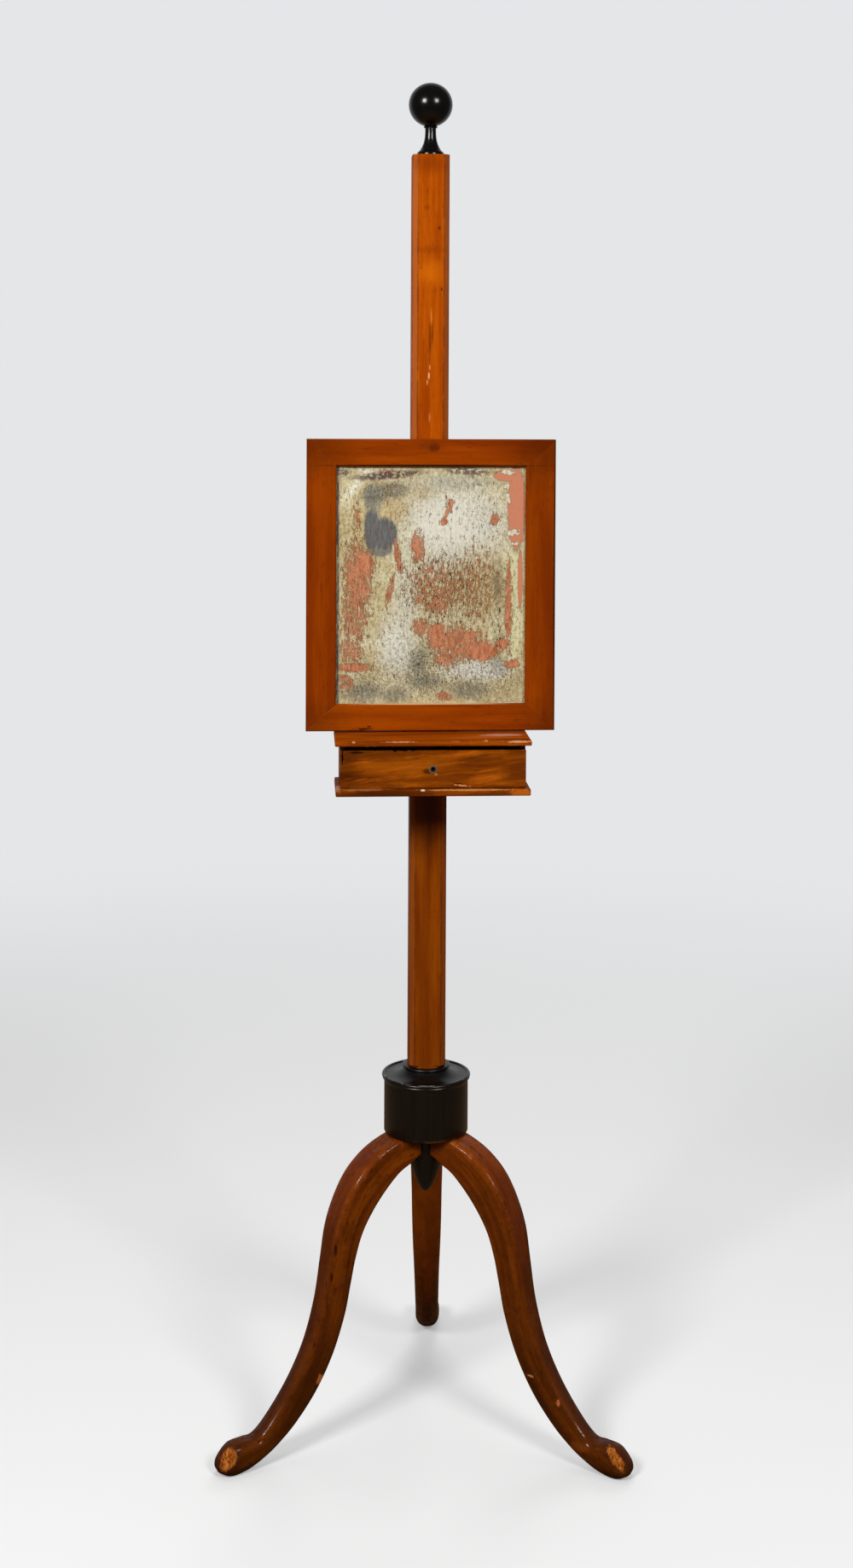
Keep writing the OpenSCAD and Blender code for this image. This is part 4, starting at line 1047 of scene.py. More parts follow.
FRAME_MARKS_SHADE_AND_LIGHT = [
    frame_mark(-32, 314, 40, 34, tone(74, 25, 1), 0.6, 0.9),
    frame_mark(262, 314, 44, 40, tone(74, 25, 1), 0.65, 0.9),
    frame_mark(-32, -28, 34, 30, tone(82, 28, 1), 0.5, 0.9),
    frame_mark(262, -28, 34, 30, tone(82, 28, 1), 0.5, 0.9),
    frame_mark(248, 150, 24, 150, tone(92, 32, 1), 0.3, 0.8),
    frame_mark(116.6, 308.7, 6, 4.5, tone(72, 26, 4), 0.7, 0.5),
    frame_mark(112, 311, 14, 6, tone(96, 36, 3), 0.4, 0.8),
    frame_mark(34, -29.5, 10, 1.0, tone(34, 14, 4), 0.85, 0.3, 1.2),
    frame_mark(40, -27, 3, 1.2, tone(50, 20, 6), 0.7, 0.4, 1.2),
    frame_mark(20, -31.8, 20, 0.8, tone(34, 14, 4), 0.7, 0.4, 1.0),
    # Painted highlight along the bottom rail's sight edge, which faces up to the lamps
    frame_mark(114, -0.2, 90, 0.5, tone(232, 186, 136), 0.7, 0.3, 0.05),
    # Painted shade along the top rail's sight edge, over the glass
    frame_mark(114, 287.2, 116, 1.2, tone(30, 12, 4), 0.8, 0.5, 0.1),
    frame_mark(263, 143, 1.4, 180, tone(40, 16, 4), 0.8, 0.4, 0.1)]


def frame_members():
    grains = {"frame_top_rail": "x", "frame_bottom_rail": "x", "frame_stile_left": "z",
              "frame_stile_right": "z"}
    for seed, (node, axis) in enumerate(grains.items()):
        lighter = node == "frame_bottom_rail"
        dark = tone(124, 45, 1) if lighter else tone(120, 43, 1)
        light = tone(158, 69, 1) if lighter else tone(155, 65, 1)
        wood = board_wood(node, axis, dark, light, tone(74, 28, 5), seed + 31, band=26.0,
                          patches=FRAME_MARKS_SHADE_AND_LIGHT)
        eased_piece(node, wood, "frame_mahogany", 0.45)


def clamp_knob():
    """The turned knob of the clamp, behind the post."""
    start = low("clamp_knob").y
    length = (high("clamp_knob").y - start) / MM
    foot_r = 10
    waist_r = 8
    neck_len = 9.5
    half_grip = (length - neck_len) / 2
    knob_r = (high("clamp_knob").z - low("clamp_knob").z) / 2 / MM
    steps = 8
    crown_steps = 12
    profile = [(0, 0)]
    for step in range(steps + 1):
        share = step / steps
        profile.append((foot_r - (foot_r - waist_r) * math.sin(math.pi / 2 * share), neck_len * share))
    for step in range(1, steps):
        share = step / steps
        swell = (knob_r - waist_r) * math.sin(math.pi / 2 * share)
        profile.append((waist_r + swell, neck_len + half_grip * share))
    for step in range(crown_steps):
        angle = math.pi / 2 * step / crown_steps
        profile.append((knob_r * math.cos(angle), neck_len + half_grip + half_grip * math.sin(angle)))
    profile.append((0, length))
    centre = Vector((middle("clamp_knob").x, start, middle("clamp_knob").z))
    mesh = turned_mesh(profile, centre, "y", 96)
    polish = ebonised("ebonised_knob", 0.2, 0.1)
    return add_piece(mesh, "turned_clamp_knob", polish, "clamp", "ebonised", "clamp_knob")


# ---- Mirror glass ----

# Places on the glass are in mm from the lower left corner of the sight.
# Soft stains in the silvering: tone, then centre, half sizes, turn in degrees, softness and strength
GLASS_STAINS = [
    (tone(218, 216, 202), 142, 214, 64, 52, 0, 0.5, 0.9),
    (tone(172, 170, 152), 142, 266, 48, 9, 0, 0.7, 0.8),
    (tone(186, 162, 116), 168, 140, 36, 38, 0, 0.7, 0.75),
    (tone(118, 98, 66), 195, 144, 6, 22, 0, 0.8, 0.8),
    (tone(212, 208, 160), 216, 120, 8, 70, 0, 0.3, 0.9),
    (tone(220, 222, 212), 74, 70, 20, 34, 0, 0.8, 0.85),
    (tone(208, 204, 184), 84, 130, 14, 50, 0, 0.7, 0.8),
    (tone(196, 172, 122), 66, 236, 20, 20, 0, 0.5, 0.8),
    (tone(196, 176, 116), 30, 214, 8, 36, 0, 0.7, 0.7),
    (tone(104, 98, 84), 62, 256, 24, 10, 8, 0.5, 0.85),
    (tone(116, 120, 110), 44, 247, 11, 18, 0, 0.5, 0.8),
    (tone(234, 230, 206), 22, 262, 5, 18, -38, 0.6, 0.9),
    (tone(230, 226, 202), 44, 277, 18, 3, -14, 0.7, 0.8),
    (tone(168, 148, 100), 104, 253, 12, 8, 20, 0.8, 0.6),
    (tone(104, 106, 90), 100, 50, 11, 18, -14, 0.7, 0.8),
    (tone(98, 98, 84), 108, 26, 20, 9, 0, 0.7, 0.85),
    (tone(110, 110, 96), 34, 14, 24, 11, 0, 0.7, 0.85),
    (tone(112, 112, 98), 72, 10, 16, 9, 0, 0.7, 0.8),
    (tone(106, 104, 88), 160, 16, 22, 11, 0, 0.7, 0.85),
    (tone(96, 94, 82), 196, 44, 10, 12, 20, 0.7, 0.8),
    (tone(218, 220, 214), 168, 40, 34, 11, 0, 0.8, 0.8)]
# The slate-grey blot, the smooth part, and the parts with pale crumbs: centre, half sizes, turn and strength
SLATE = [(43, 208, 10, 27, 0), (57, 204, 17, 20, -8), (52, 186, 16, 9, 0, 0.85), (40, 250, 8, 14, 0, 0.4)]
SMOOTH_PART = [(140, 216, 46, 26, 0)]
# Where the bared paint is browner than the salmon round it
RUSTY_PART = [(166, 142, 34, 44, 0)]
CRUMBS = [(112, 46, 112, 40, 0), (30, 110, 28, 90, 0, 0.7), (128, 130, 50, 60, 0, 0.8),
          (212, 120, 10, 100, 0, 0.7), (60, 262, 40, 12, 0, 0.6), (74, 90, 20, 40, 0, 0.8)]
# Where the silvering has come away to the salmon paint: centre, half sizes, turn and the share that is gone
GLASS_LOSSES = [
    (26, 150, 17, 44, 0, 0.66),
    (34, 168, 13, 16, 0, 0.85),
    (22, 104, 17, 34, 0, 0.5),
    (18, 62, 14, 20, 0, 0.5),
    (22, 44, 20, 6, 0, 0.75),
    (12, 26, 9, 10, 0, 0.6),
    (24, 222, 5, 22, 0, 0.42),
    (74, 176, 4, 22, 10, 0.62),
    (64, 136, 4, 22, -14, 0.55),
    (98, 188, 8, 17, 0, 0.72),
    (120, 140, 34, 32, 0, 0.42),
    (170, 140, 22, 46, 0, 0.32),
    (124, 122, 14, 14, 0, 0.62),
    (154, 146, 18, 26, 0, 0.4),
    (102, 92, 11, 10, 0, 0.66),
    (122, 82, 12, 18, 0, 0.8),
    (148, 74, 34, 20, -8, 0.64),
    (174, 63, 18, 11, 0, 1.0),
    (186, 62, 12, 6, 0, 1.0),
    (162, 82, 9, 7, 0, 0.85),
    (133, 58, 16, 14, 0, 0.6),
    (208, 118, 4.5, 54, 0, 0.72),
    (200, 72, 8, 7, 0, 0.8),
    (213, 47, 9, 5, 0, 0.85),
    (137, 240, 4, 7, -20, 0.85),
    (134, 231, 3, 10, -30, 0.75),
    (129, 219, 5, 4, 20, 0.7),
    (191, 222, 5, 7, 0, 0.8),
    (130, 8, 10, 5, 0, 0.6),
    (62, 277, 12, 5, 0, 0.5),
    (24, 190, 8, 10, 0, 0.4)]
# The strip at the right where the paint is bare and smooth, and the curled flakes left on it
BARE_STRIP = [(217, 236, 10.5, 50, 0), (207, 275, 17, 7, 0), (222, 150, 3, 34, 0)]
CURLED_FLAKES = [(206, 279, 8, 2.6, -10), (213, 206, 7, 3.4, 14), (216, 193, 4, 2, 0), (207, 248, 2.2, 6, 16),
                 (205, 262, 3, 3, 0)]
# Dark flakes along the top edge
DARK_BAND = [(60, 275, 42, 5, 5, 1.0), (158, 280, 28, 4.5, -3, 0.9), (8, 278, 9, 5, 0, 0.8)]
# Where dark grit lies on the silvering: centre, half sizes, turn and share
GRIME = [
    (60, 255, 28, 12, 6, 1.0),
    (26, 150, 20, 70, 0, 0.5),
    (150, 130, 60, 50, 0, 0.5),
    (196, 110, 12, 56, 0, 0.7),
    (110, 34, 64, 28, 0, 1.0),
    (30, 30, 30, 26, 0, 1.0),
    (190, 30, 36, 28, 0, 1.0),
    (100, 54, 20, 24, -14, 1.0),
    (182, 222, 24, 24, 0, 0.5),
    (80, 230, 12, 16, 0, 0.6)]
# Where black specks crowd: centre, half sizes, turn and share
SPECK_FIELDS = [
    (128, 138, 56, 56, 0, 0.8),
    (78, 130, 4, 62, 0, 0.7),
    (182, 224, 26, 26, 0, 0.5),
    (112, 52, 100, 46, 0, 0.35),
    (22, 96, 20, 44, 0, 0.5),
    (196, 90, 4, 34, 0, 1.0),
    (110, 45, 24, 20, 0, 0.8)]


def drawn_out(net, flat, by):
    """Places for a pattern that is longer up and down than across."""
    across, _, up = net.split(flat)
    return net.join(across, 0.0, net.maths("DIVIDE", up, by))


def uneven(net, place, scale, amount, detail=4.0):
    """A push either way round 0 for the outline of an oval."""
    return net.times(net.maths("SUBTRACT", net.noise(place, scale, detail, 0.7), 0.5), amount)


def glass_oval(net, flat, u, v, half_u, half_v, turn, soft, push):
    """A mask over one oval of the glass."""
    return net.effect(OVAL, Place=flat, Centre=(u, 0.0, v), Half=(half_u, 1.0, half_v),
                      Turn=math.radians(turn), Soft=soft, Push=push).outputs[0]


def strongest_oval(net, flat, rows, soft, push):
    """The strongest of several ovals at each point. A row's sixth number, if any, is its strength."""
    total = 0.0
    for u, v, half_u, half_v, turn, *strength in rows:
        mask = glass_oval(net, flat, u, v, half_u, half_v, turn, soft, push)
        total = net.maths("MAXIMUM", total, net.times(mask, strength[0] if strength else 1.0))
    return total


def old_silvering(net, flat, brushed, wander):
    """The stained silvering that is left."""
    cloud = net.noise(flat, 0.035, 5.0, 0.6)
    colour = net.blend(net.step(cloud, 0.35, 0.65), tone(186, 168, 118), tone(212, 202, 162))
    torn = net.maths("ADD", wander, uneven(net, flat, 0.22, 1.1, 5.0))
    for stain, u, v, half_u, half_v, turn, soft, strength in GLASS_STAINS:
        mask = glass_oval(net, flat, u, v, half_u, half_v, turn, soft, torn)
        colour = net.tint(mask, strength, colour, stain)
    calm = strongest_oval(net, flat, SMOOTH_PART, 0.5, wander)
    mottle = net.step(net.noise(flat, 0.3, 6.0, 0.8), 0.46, 0.6)
    mottle = net.times(mottle, net.between(calm, 0.46, 0.12))
    colour = net.blend(mottle, colour, tone(112, 100, 66))
    brush = net.step(net.noise(brushed, 0.7, 4.0, 0.6), 0.4, 0.68)
    colour = net.tint(brush, 0.1, colour, tone(236, 232, 216))
    relief = net.noise(net.vector("MULTIPLY", flat, (1.0, 1.0, 0.6)), 0.24, 5.0, 0.8)
    rough_part = net.between(calm, 1.0, 0.2)
    hollows = net.times(net.step(relief, 0.5, 0.36), net.times(rough_part, 0.5))
    ridges = net.times(net.step(relief, 0.52, 0.64), net.times(rough_part, 0.45))
    colour = net.blend(hollows, colour, tone(106, 90, 56))
    colour = net.blend(ridges, colour, tone(232, 226, 196))
    crumbs = net.step(net.noise(flat, 0.5, 5.0, 0.75), 0.56, 0.62)
    crumbs = net.times(crumbs, strongest_oval(net, flat, CRUMBS, 0.5, wander))
    colour = net.tint(crumbs, 0.75, colour, tone(232, 228, 206))
    slate = strongest_oval(net, flat, SLATE, 0.2, net.maths("ADD", wander, uneven(net, brushed, 0.5, 0.5)))
    drawn = net.step(net.noise(brushed, 0.5, 5.0, 0.7), 0.4, 0.62)
    soot = net.blend(drawn, tone(86, 88, 90), tone(108, 110, 108))
    colour = net.blend(slate, colour, soot)
    grime = strongest_oval(net, flat, GRIME, 0.6, wander)
    grit = net.step(net.noise(flat, 0.36, 6.0, 0.85), 0.5, 0.57)
    return net.tint(net.times(grime, grit), 0.85, colour, tone(66, 60, 46))


def bared_paint(net, colour, flat, drawn_down, wander):
    """Lays over colour the salmon and rusty paint that shows where the silvering is gone, with dark rims."""
    losses = strongest_oval(net, flat, GLASS_LOSSES, 0.55, net.times(wander, 1.6))
    coarse = net.times(net.noise(drawn_down, 0.3, 4.0, 0.65), 0.62)
    fine = net.times(net.noise(drawn_down, 0.95, 3.0, 0.6), 0.38)
    crumbs = net.step(net.maths("ADD", coarse, fine), 0.34, 0.66)
    left = net.maths("SUBTRACT", losses, crumbs)
    mottle = net.step(net.noise(drawn_down, 0.2, 5.0, 0.7), 0.38, 0.66)
    paint = net.blend(mottle, tone(204, 134, 98), tone(160, 90, 54))
    rusty = strongest_oval(net, flat, RUSTY_PART, 0.5, wander)
    paint = net.tint(rusty, 0.8, paint, tone(170, 112, 66))
    colour = net.tint(net.step(left, -0.42, -0.1), 0.5, colour, tone(140, 96, 48))
    colour = net.tint(net.step(left, -0.17, -0.03), 0.9, colour, tone(60, 44, 30))
    return net.tint(net.step(left, 0.0, 0.04), 0.92, colour, paint)


def bare_strip(net, colour, flat, jagged):
    """Lays over colour the bare strip at the right and the curled flakes on it."""
    rim = strongest_oval(net, flat, BARE_STRIP, 0.1, jagged)
    colour = net.tint(net.step(rim, 0.0, 0.3), 0.7, colour, tone(62, 46, 38))
    colour = net.blend(net.step(rim, 0.45, 0.6), colour, tone(194, 124, 94))
    curl = strongest_oval(net, flat, CURLED_FLAKES, 0.5, net.times(jagged, 3.0))
    colour = net.tint(net.step(curl, 0.05, 0.3), 0.7, colour, tone(96, 72, 60))
    flake = net.blend(net.step(jagged, -0.1, 0.2), tone(214, 204, 180), tone(168, 156, 132))
    return net.blend(net.step(curl, 0.4, 0.6), colour, flake)


def edge_stains(net, colour, flat, brushed, wander):
    """Lays over colour the dark flakes along the top and the dirt down the left edge."""
    across, _, up = net.split(flat)
    wide = net.join(net.maths("DIVIDE", across, 2.0), 0.0, up)
    ragged = net.step(net.noise(wide, 0.3, 5.0, 0.7), 0.42, 0.5)
    band = strongest_oval(net, flat, DARK_BAND, 0.4, wander)
    colour = net.tint(net.times(band, ragged), 0.9, colour, tone(78, 58, 60))
    dirt = net.step(net.noise(brushed, 0.3, 4.0, 0.7), 0.36, 0.56)
    edge = net.step(across, 5.0, 1.8)
    return net.tint(net.times(edge, dirt), 0.9, colour, tone(78, 68, 72))


def black_specks(net, colour, flat, wander):
    """Lays over colour the black blots, dashes and dots, which crowd in SPECK_FIELDS."""
    crowd = net.times(strongest_oval(net, flat, SPECK_FIELDS, 0.5, wander), 0.13)
    long = net.noise(drawn_out(net, flat, 4.0), 0.55, 3.0, 0.6)
    short = net.noise(drawn_out(net, flat, 1.3), 0.7, 2.0, 0.5)
    dashes = net.step(net.maths("ADD", long, crowd), 0.675, 0.705)
    dots = net.step(net.maths("ADD", short, crowd), 0.735, 0.76)
    blots = net.step(net.maths("ADD", net.noise(flat, 0.36, 4.0, 0.7), crowd), 0.735, 0.755)
    specks = net.maths("MAXIMUM", blots, net.maths("MAXIMUM", dashes, dots))
    return net.tint(specks, 0.92, colour, tone(40, 30, 22))


def old_mirror():
    """Silvering that has flaked and stained, behind clear glass."""
    material, net, shader = new_material("old_mirror")
    place = net.vector("SCALE", net.vector("SUBTRACT", net.place(), tuple(GLASS_CORNER)), 1 / MM)
    across, _, up = net.split(place)
    flat = net.join(across, 0.0, up)
    drawn_down = drawn_out(net, flat, 2.8)
    brushed = drawn_out(net, flat, 7.0)
    wander = uneven(net, flat, 0.06, 0.4)
    jagged = uneven(net, flat, 0.3, 1.3, 6.0)
    colour = old_silvering(net, flat, brushed, wander)
    colour = bared_paint(net, colour, flat, drawn_down, wander)
    colour = bare_strip(net, colour, flat, jagged)
    colour = edge_stains(net, colour, flat, brushed, wander)
    colour = black_specks(net, colour, flat, wander)
    net.feed(shader.inputs["Base Color"], colour)
    shader.inputs["Roughness"].default_value = 0.6
    shader.inputs["Specular IOR Level"].default_value = 0.1
    shader.inputs["Coat Weight"].default_value = 0.4
    shader.inputs["Coat Roughness"].default_value = 0.03
    return material


# ---- Screws, grown at their places by geometry nodes ----


def new_growth(name, sizes):
    """An empty geometry tree that takes points, the named sizes and a material.

    Returns its net, its inputs by name, and a function that sets what it gives.
    """
    tree = bpy.data.node_groups.new(name, "GeometryNodeTree")
    tree.interface.new_socket(name="Points", in_out="INPUT", socket_type="NodeSocketGeometry")
    for title, default in sizes.items():
        kind = "NodeSocketVector" if isinstance(default, tuple) else "NodeSocketFloat"
        tree.interface.new_socket(name=title, in_out="INPUT", socket_type=kind).default_value = default
    tree.interface.new_socket(name="Material", in_out="INPUT", socket_type="NodeSocketMaterial")
    tree.interface.new_socket(name="Geometry", in_out="OUTPUT", socket_type="NodeSocketGeometry")
    net = Net(tree)
    given = net.node("NodeGroupInput").outputs
    leave = net.node("NodeGroupOutput")

    def give(geometry):
        real = net.node("GeometryNodeRealizeInstances", inputs={"Geometry": geometry}).outputs[0]
        coated = net.node("GeometryNodeSetMaterial", inputs={"Geometry": real, "Material": given["Material"]})
        net.feed(leave.inputs[0], coated.outputs[0])

    return net, given, give


def moved(net, geometry, place):
    """The geometry moved to a place."""
    return net.node("GeometryNodeTransform", inputs={"Geometry": geometry, "Translation": place}).outputs[0]


def facing(net, geometry, points, direction, spin):
    """The geometry at each point, its own Z turned to the direction and then spun about it."""
    aimed = net.node("FunctionNodeAlignRotationToVector", {"axis": "Z"}, {"Vector": direction}).outputs[0]
    spun = net.node("FunctionNodeAxisAngleToRotation", inputs={"Axis": (0, 0, 1), "Angle": spin}).outputs[0]
    turned = net.node("FunctionNodeRotateRotation", {"rotation_space": "LOCAL"},
                      {"Rotation": aimed, "Rotate By": spun}).outputs[0]
    return net.node("GeometryNodeInstanceOnPoints",
                    inputs={"Points": points, "Instance": geometry, "Rotation": turned}).outputs[0]


def slotted_screw_growth():
    """Countersunk slotted screws, whose flush heads face along Facing and whose slots lie at random."""
    net, given, give = new_growth(
        "slotted_screws",
        {"Radius": 0.0018, "Length": 0.02, "Slot Width": 0.001, "Slot Depth": 0.001,
         "Facing": (0.0, -1.0, 0.0)})
    radius = given["Radius"]
    head_r = net.times(radius, 2.0)
    tip_r = net.times(radius, 0.4)
    shank_r = net.times(radius, 0.97)
    head = net.node("GeometryNodeMeshCone",
                    inputs={"Vertices": 48, "Radius Top": head_r, "Radius Bottom": radius,
                            "Depth": radius}).outputs["Mesh"]
    shank = net.node("GeometryNodeMeshCone",
                     inputs={"Vertices": 32, "Radius Top": shank_r, "Radius Bottom": tip_r,
                             "Depth": given["Length"]}).outputs["Mesh"]
    head = moved(net, head, net.join(0.0, 0.0, net.times(radius, -1.0)))
    below = net.maths("SUBTRACT", net.times(given["Length"], -1.0), net.times(radius, -0.5))
    shank = moved(net, shank, net.join(0.0, 0.0, below))
    slot_size = net.join(net.times(head_r, 3.0), given["Slot Width"], net.times(given["Slot Depth"], 2.0))
    slot = net.node("GeometryNodeMeshCube", inputs={"Size": slot_size}).outputs["Mesh"]
    cut = net.node("GeometryNodeMeshBoolean", {"operation": "DIFFERENCE", "solver": "EXACT"},
                   {0: head, 1: slot}).outputs[0]
    screw = net.node("GeometryNodeMeshBoolean", {"operation": "UNION", "solver": "EXACT"}, {1: cut})
    net.feed(screw.inputs[1], shank)
    spin = net.node("FunctionNodeRandomValue", {"data_type": "FLOAT"},
                    {2: 0.0, 3: math.pi, "Seed": 7}).outputs[1]
    give(facing(net, screw.outputs[0], given["Points"], given["Facing"], spin))
    return net.tree


def thumb_screw_growth():
    """A thumb screw whose knurled head has its inner face at the point and its outer face along Facing."""
    net, given, give = new_growth(
        "thumb_screw",
        {"Head Radius": 0.008, "Head Length": 0.008, "Radius": 0.0025, "Length": 0.011, "Teeth": 40.0,
         "Groove": 0.0004, "Ease": 0.0008, "Facing": (1.0, 0.0, 0.0)})
    half = net.times(given["Head Length"], 0.5)
    head = net.node("GeometryNodeMeshCylinder",
                    inputs={"Vertices": net.times(given["Teeth"], 6.0), "Side Segments": 10,
                            "Radius": given["Head Radius"], "Depth": given["Head Length"]}).outputs["Mesh"]
    x, y, z = net.split(net.node("GeometryNodeInputPosition").outputs[0])
    angle = net.maths("DIVIDE", net.maths("ARCTAN2", y, x), 2 * math.pi)
    tooth = net.maths("PINGPONG", net.times(angle, given["Teeth"]), 0.5)
    groove = net.times(tooth, net.times(given["Groove"], 2.0))
    past = net.maths("SUBTRACT", net.maths("ABSOLUTE", z), net.maths("SUBTRACT", half, given["Ease"]))
    inward = net.maths("ADD", groove, net.maths("MAXIMUM", past, 0.0))
    out = net.vector("NORMALIZE", net.join(x, y, 0.0))
    knurled = net.node("GeometryNodeSetPosition", inputs={
        "Geometry": head, "Offset": net.vector("SCALE", out, net.times(inward, -1.0))}).outputs[0]
    knurled = moved(net, knurled, net.join(0.0, 0.0, half))
    length = net.maths("ADD", given["Length"], half)
    shank = net.node("GeometryNodeMeshCylinder",
                     inputs={"Vertices": 48, "Radius": given["Radius"], "Depth": length}).outputs["Mesh"]
    middle_z = net.times(net.maths("SUBTRACT", half, given["Length"]), 0.5)
    shank = moved(net, shank, net.join(0.0, 0.0, middle_z))
    screw = net.node("GeometryNodeMeshBoolean", {"operation": "UNION", "solver": "EXACT"}, {1: knurled})
    net.feed(screw.inputs[1], shank)
    give(facing(net, screw.outputs[0], given["Points"], given["Facing"], 0.0))
    return net.tree


def grown_mesh(points, tree, sizes, material):
    """The plain mesh that a geometry tree makes from points, its sizes by name."""
    seeds = bpy.data.meshes.new("points")
    seeds.from_pydata(points, [], [])
    holder = linked("holder", seeds)
    modifier = holder.modifiers.new("growth", "NODES")
    modifier.node_group = tree
    values = {**sizes, "Material": material}
    for socket in tree.interface.items_tree:
        if socket.in_out == "INPUT" and socket.name in values:
            modifier[socket.identifier] = values[socket.name]
    bpy.context.view_layer.update()
    mesh = bpy.data.meshes.new_from_object(holder.evaluated_get(bpy.context.evaluated_depsgraph_get()))
    holder.modifiers.remove(modifier)
    bpy.data.objects.remove(holder)
    shade_smooth(mesh)
    return mesh


# For each node of screws, in mm: shank radius, length, the way along Y that its heads face, their y, and
# the x and z of each
SCREWS = {
    "collar_screws": (1.8, 26, 1, 33.9, [(x, z) for x in (-28.4, 28.4) for z in (806, 842, 1140.6, 1180.6)]),
    "case_screws": (1.8, 13, -1, -37.9, [(x, z) for x in (-21.9, 21.9) for z in (815, 838)]),
    "hinge_screws_fixed": (1, 7, -1, -33.4, [(x, 1190.6) for x in (-20, 0, 20)]),
    "hinge_screws_moving": (1, 7, 1, -33.8, [(x, 1194.1) for x in (-20, 0, 20)]),
    "quadrant_screws": (1, 7, 1, -33.6, [(42.1, 1194.35), (50.1, 1194.35)])}


def slotted_screws(brass):
    """The countersunk screws of collars, box, hinge and quadrant, one piece for each node."""
    tree = slotted_screw_growth()
    for node, (radius, length, way, y, places) in SCREWS.items():
        points = [by_axis(x, y, z) for x, z in places]
        sizes = {"Radius": radius * MM, "Length": length * MM, "Slot Width": 0.55 * radius * MM,
                 "Slot Depth": 0.45 * radius * MM, "Facing": (0.0, float(way), 0.0)}
        mesh = grown_mesh(points, tree, sizes, brass)
        add_piece(mesh, "slotted_" + node, brass, frame["nodes"][node]["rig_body"], "brass", node)


def thumb_screw(brass):
    """The knurled screw that holds the mirror's tilt."""
    head_r = 8 * MM
    head_len = 8 * MM
    inner_face = (high("tilt_screw").x - head_len, middle("tilt_screw").y, middle("tilt_screw").z)
    sizes = {"Head Radius": head_r, "Head Length": head_len, "Radius": 2.5 * MM,
             "Length": inner_face[0] - low("tilt_screw").x}
    mesh = grown_mesh([inner_face], thumb_screw_growth(), sizes, brass)
    add_piece(mesh, "knurled_tilt_screw", brass, "stay_screw", "brass", "tilt_screw")


# ---- Small parts ----


def small_parts():
    """Brass fittings, rest buttons, glass, backboard and the drawer's bone ring."""
    brass = aged_brass()
    for node in ("pressure_pad", "clamp_screw", "hinge_leaf_fixed", "hinge_pin", "hinge_leaf_moving",
                 "tilt_quadrant"):
        dress(node, brass)
    slotted_screws(brass)
    thumb_screw(brass)
    dress("rest_buffers", worn_leather())
    dress("mirror_glass", old_mirror())
    for node in ("mirror_backboard", "backboard_beads"):
        dress(node, deal_wood(node, "z"))
    eased_piece("knob_ferrule", yellowed_bone(), "bone", 0.25)


# ---- Floor, light and camera ----


def pale_floor():
    """A plain pale disc that fades out into the backdrop. Only the camera sees it bright."""
    radius = 3.2
    shape = bmesh.new()
    bmesh.ops.create_circle(shape, cap_ends=True, segments=96, radius=radius)
    mesh = mesh_from(shape, "floor")
    floor = linked("floor", mesh)
    floor.location = (0, 0, CAD_BOX[0].z)
    material, net, shader = new_material("floor_pale")
    distance = net.vector("LENGTH", net.place())
    net.feed(shader.inputs["Alpha"], net.step(distance, radius * 0.95, radius * 0.3))
    seen = net.node("ShaderNodeLightPath").outputs["Is Camera Ray"]
    net.feed(shader.inputs["Base Color"], net.blend(seen, tone(128, 104, 76), tone(204, 204, 203)))
    net.feed(shader.inputs["Emission Strength"], net.between(seen, 0.0, 0.34))
    shader.inputs["Roughness"].default_value = 0.9
    shader.inputs["Specular IOR Level"].default_value = 0.0
    shader.inputs["Emission Color"].default_value = tone(230, 230, 231)
    mesh.materials.append(material)


def soft_box(name, azimuth, elevation, side, power, mirrored=True):
    """A square area light that faces the middle of the object, at an angle round it from straight ahead.

    mirrored is whether it can be seen in gloss.
    """
    distance = 3.2
    data = bpy.data.lights.new(name, "AREA")
    data.shape = "SQUARE"
    data.size = side
    data.energy = power
    light = linked(name, data)
    target = Vector((0, 0, 0.9))
    turn = math.radians(azimuth)
    tilt = math.radians(elevation)
    back = Vector((math.sin(turn) * math.cos(tilt), -math.cos(turn) * math.cos(tilt), math.sin(tilt)))
    light.location = target + back * distance
    light.rotation_euler = (-back).to_track_quat("-Z", "Y").to_euler()
    light.visible_glossy = mirrored


ROOM_LIGHT = 0.12
WALL_LIGHT = 0.75


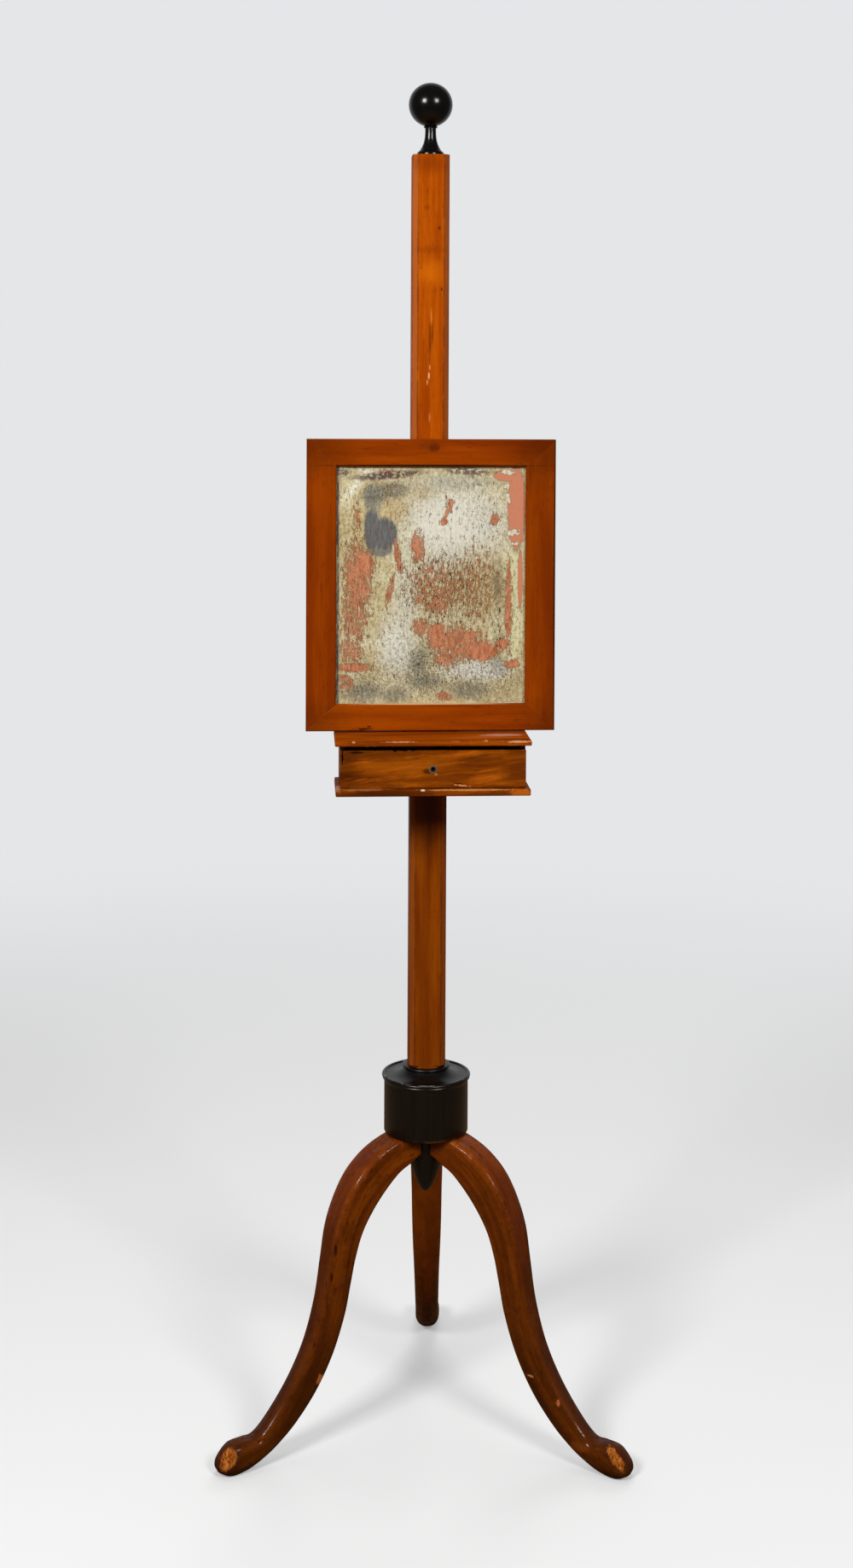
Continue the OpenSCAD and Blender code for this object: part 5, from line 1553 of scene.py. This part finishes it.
def soft_light():
    """Two soft boxes in front, one above and one behind, in a dim room with a pale wall behind the object."""
    world = bpy.data.worlds.new("soft_white")
    world.use_nodes = True
    net = Net(world.node_tree)
    background = world.node_tree.nodes["Background"]
    seen = net.node("ShaderNodeLightPath").outputs["Is Camera Ray"]
    _, behind, _ = net.split(net.node("ShaderNodeTexCoord").outputs["Generated"])
    room = net.between(net.step(behind, 0.3, 0.8), ROOM_LIGHT, WALL_LIGHT)
    background.inputs["Color"].default_value = BACKDROP
    net.feed(background.inputs["Strength"], net.maths("MAXIMUM", seen, room))
    bpy.context.scene.world = world
    soft_box("front_left", azimuth=-36, elevation=28, side=0.8, power=74)
    soft_box("front_right", azimuth=28, elevation=28, side=0.8, power=50)
    soft_box("overhead", azimuth=180, elevation=75, side=1.8, power=24, mirrored=False)
    soft_box("behind", azimuth=160, elevation=30, side=1.4, power=22, mirrored=False)


def add_camera():
    """The camera at the photograph's place and angle, fitted to the legs, the box and the mirror frame."""
    from_axis = Vector((-0.1598, -2.5725, 1.289))
    data = bpy.data.cameras.new("camera")
    frame_h = 1838
    focal_px = 2467.8
    data.sensor_width = 36
    data.lens = focal_px / frame_h * data.sensor_width
    data.shift_y = -0.23
    data.clip_end = 50
    camera = linked("camera", data)
    yaw = math.radians(3.4812)
    pitch = math.radians(1.3415)
    roll = math.radians(0.2743)
    ahead = Vector((math.sin(yaw) * math.cos(pitch), math.cos(yaw) * math.cos(pitch), -math.sin(pitch)))
    right = Vector((math.cos(yaw), -math.sin(yaw), 0))
    up = right.cross(ahead)
    rolled_right = right * math.cos(roll) + up * math.sin(roll)
    rolled_up = up * math.cos(roll) - right * math.sin(roll)
    axes = Matrix((rolled_right, rolled_up, -ahead)).transposed().to_4x4()
    camera.matrix_world = Matrix.Translation(AXIS + from_axis) @ axes
    bpy.context.scene.camera = camera


# ---- The whole object ----

turned_finial()
turned_drum()
turned_drop()
sabre_legs()
square_post()
carriage_boards()
box_boards()
drawer_boards()
frame_members()
clamp_knob()
small_parts()
pale_floor()
soft_light()
add_camera()
bpy.context.scene.view_settings.view_transform = "Standard"
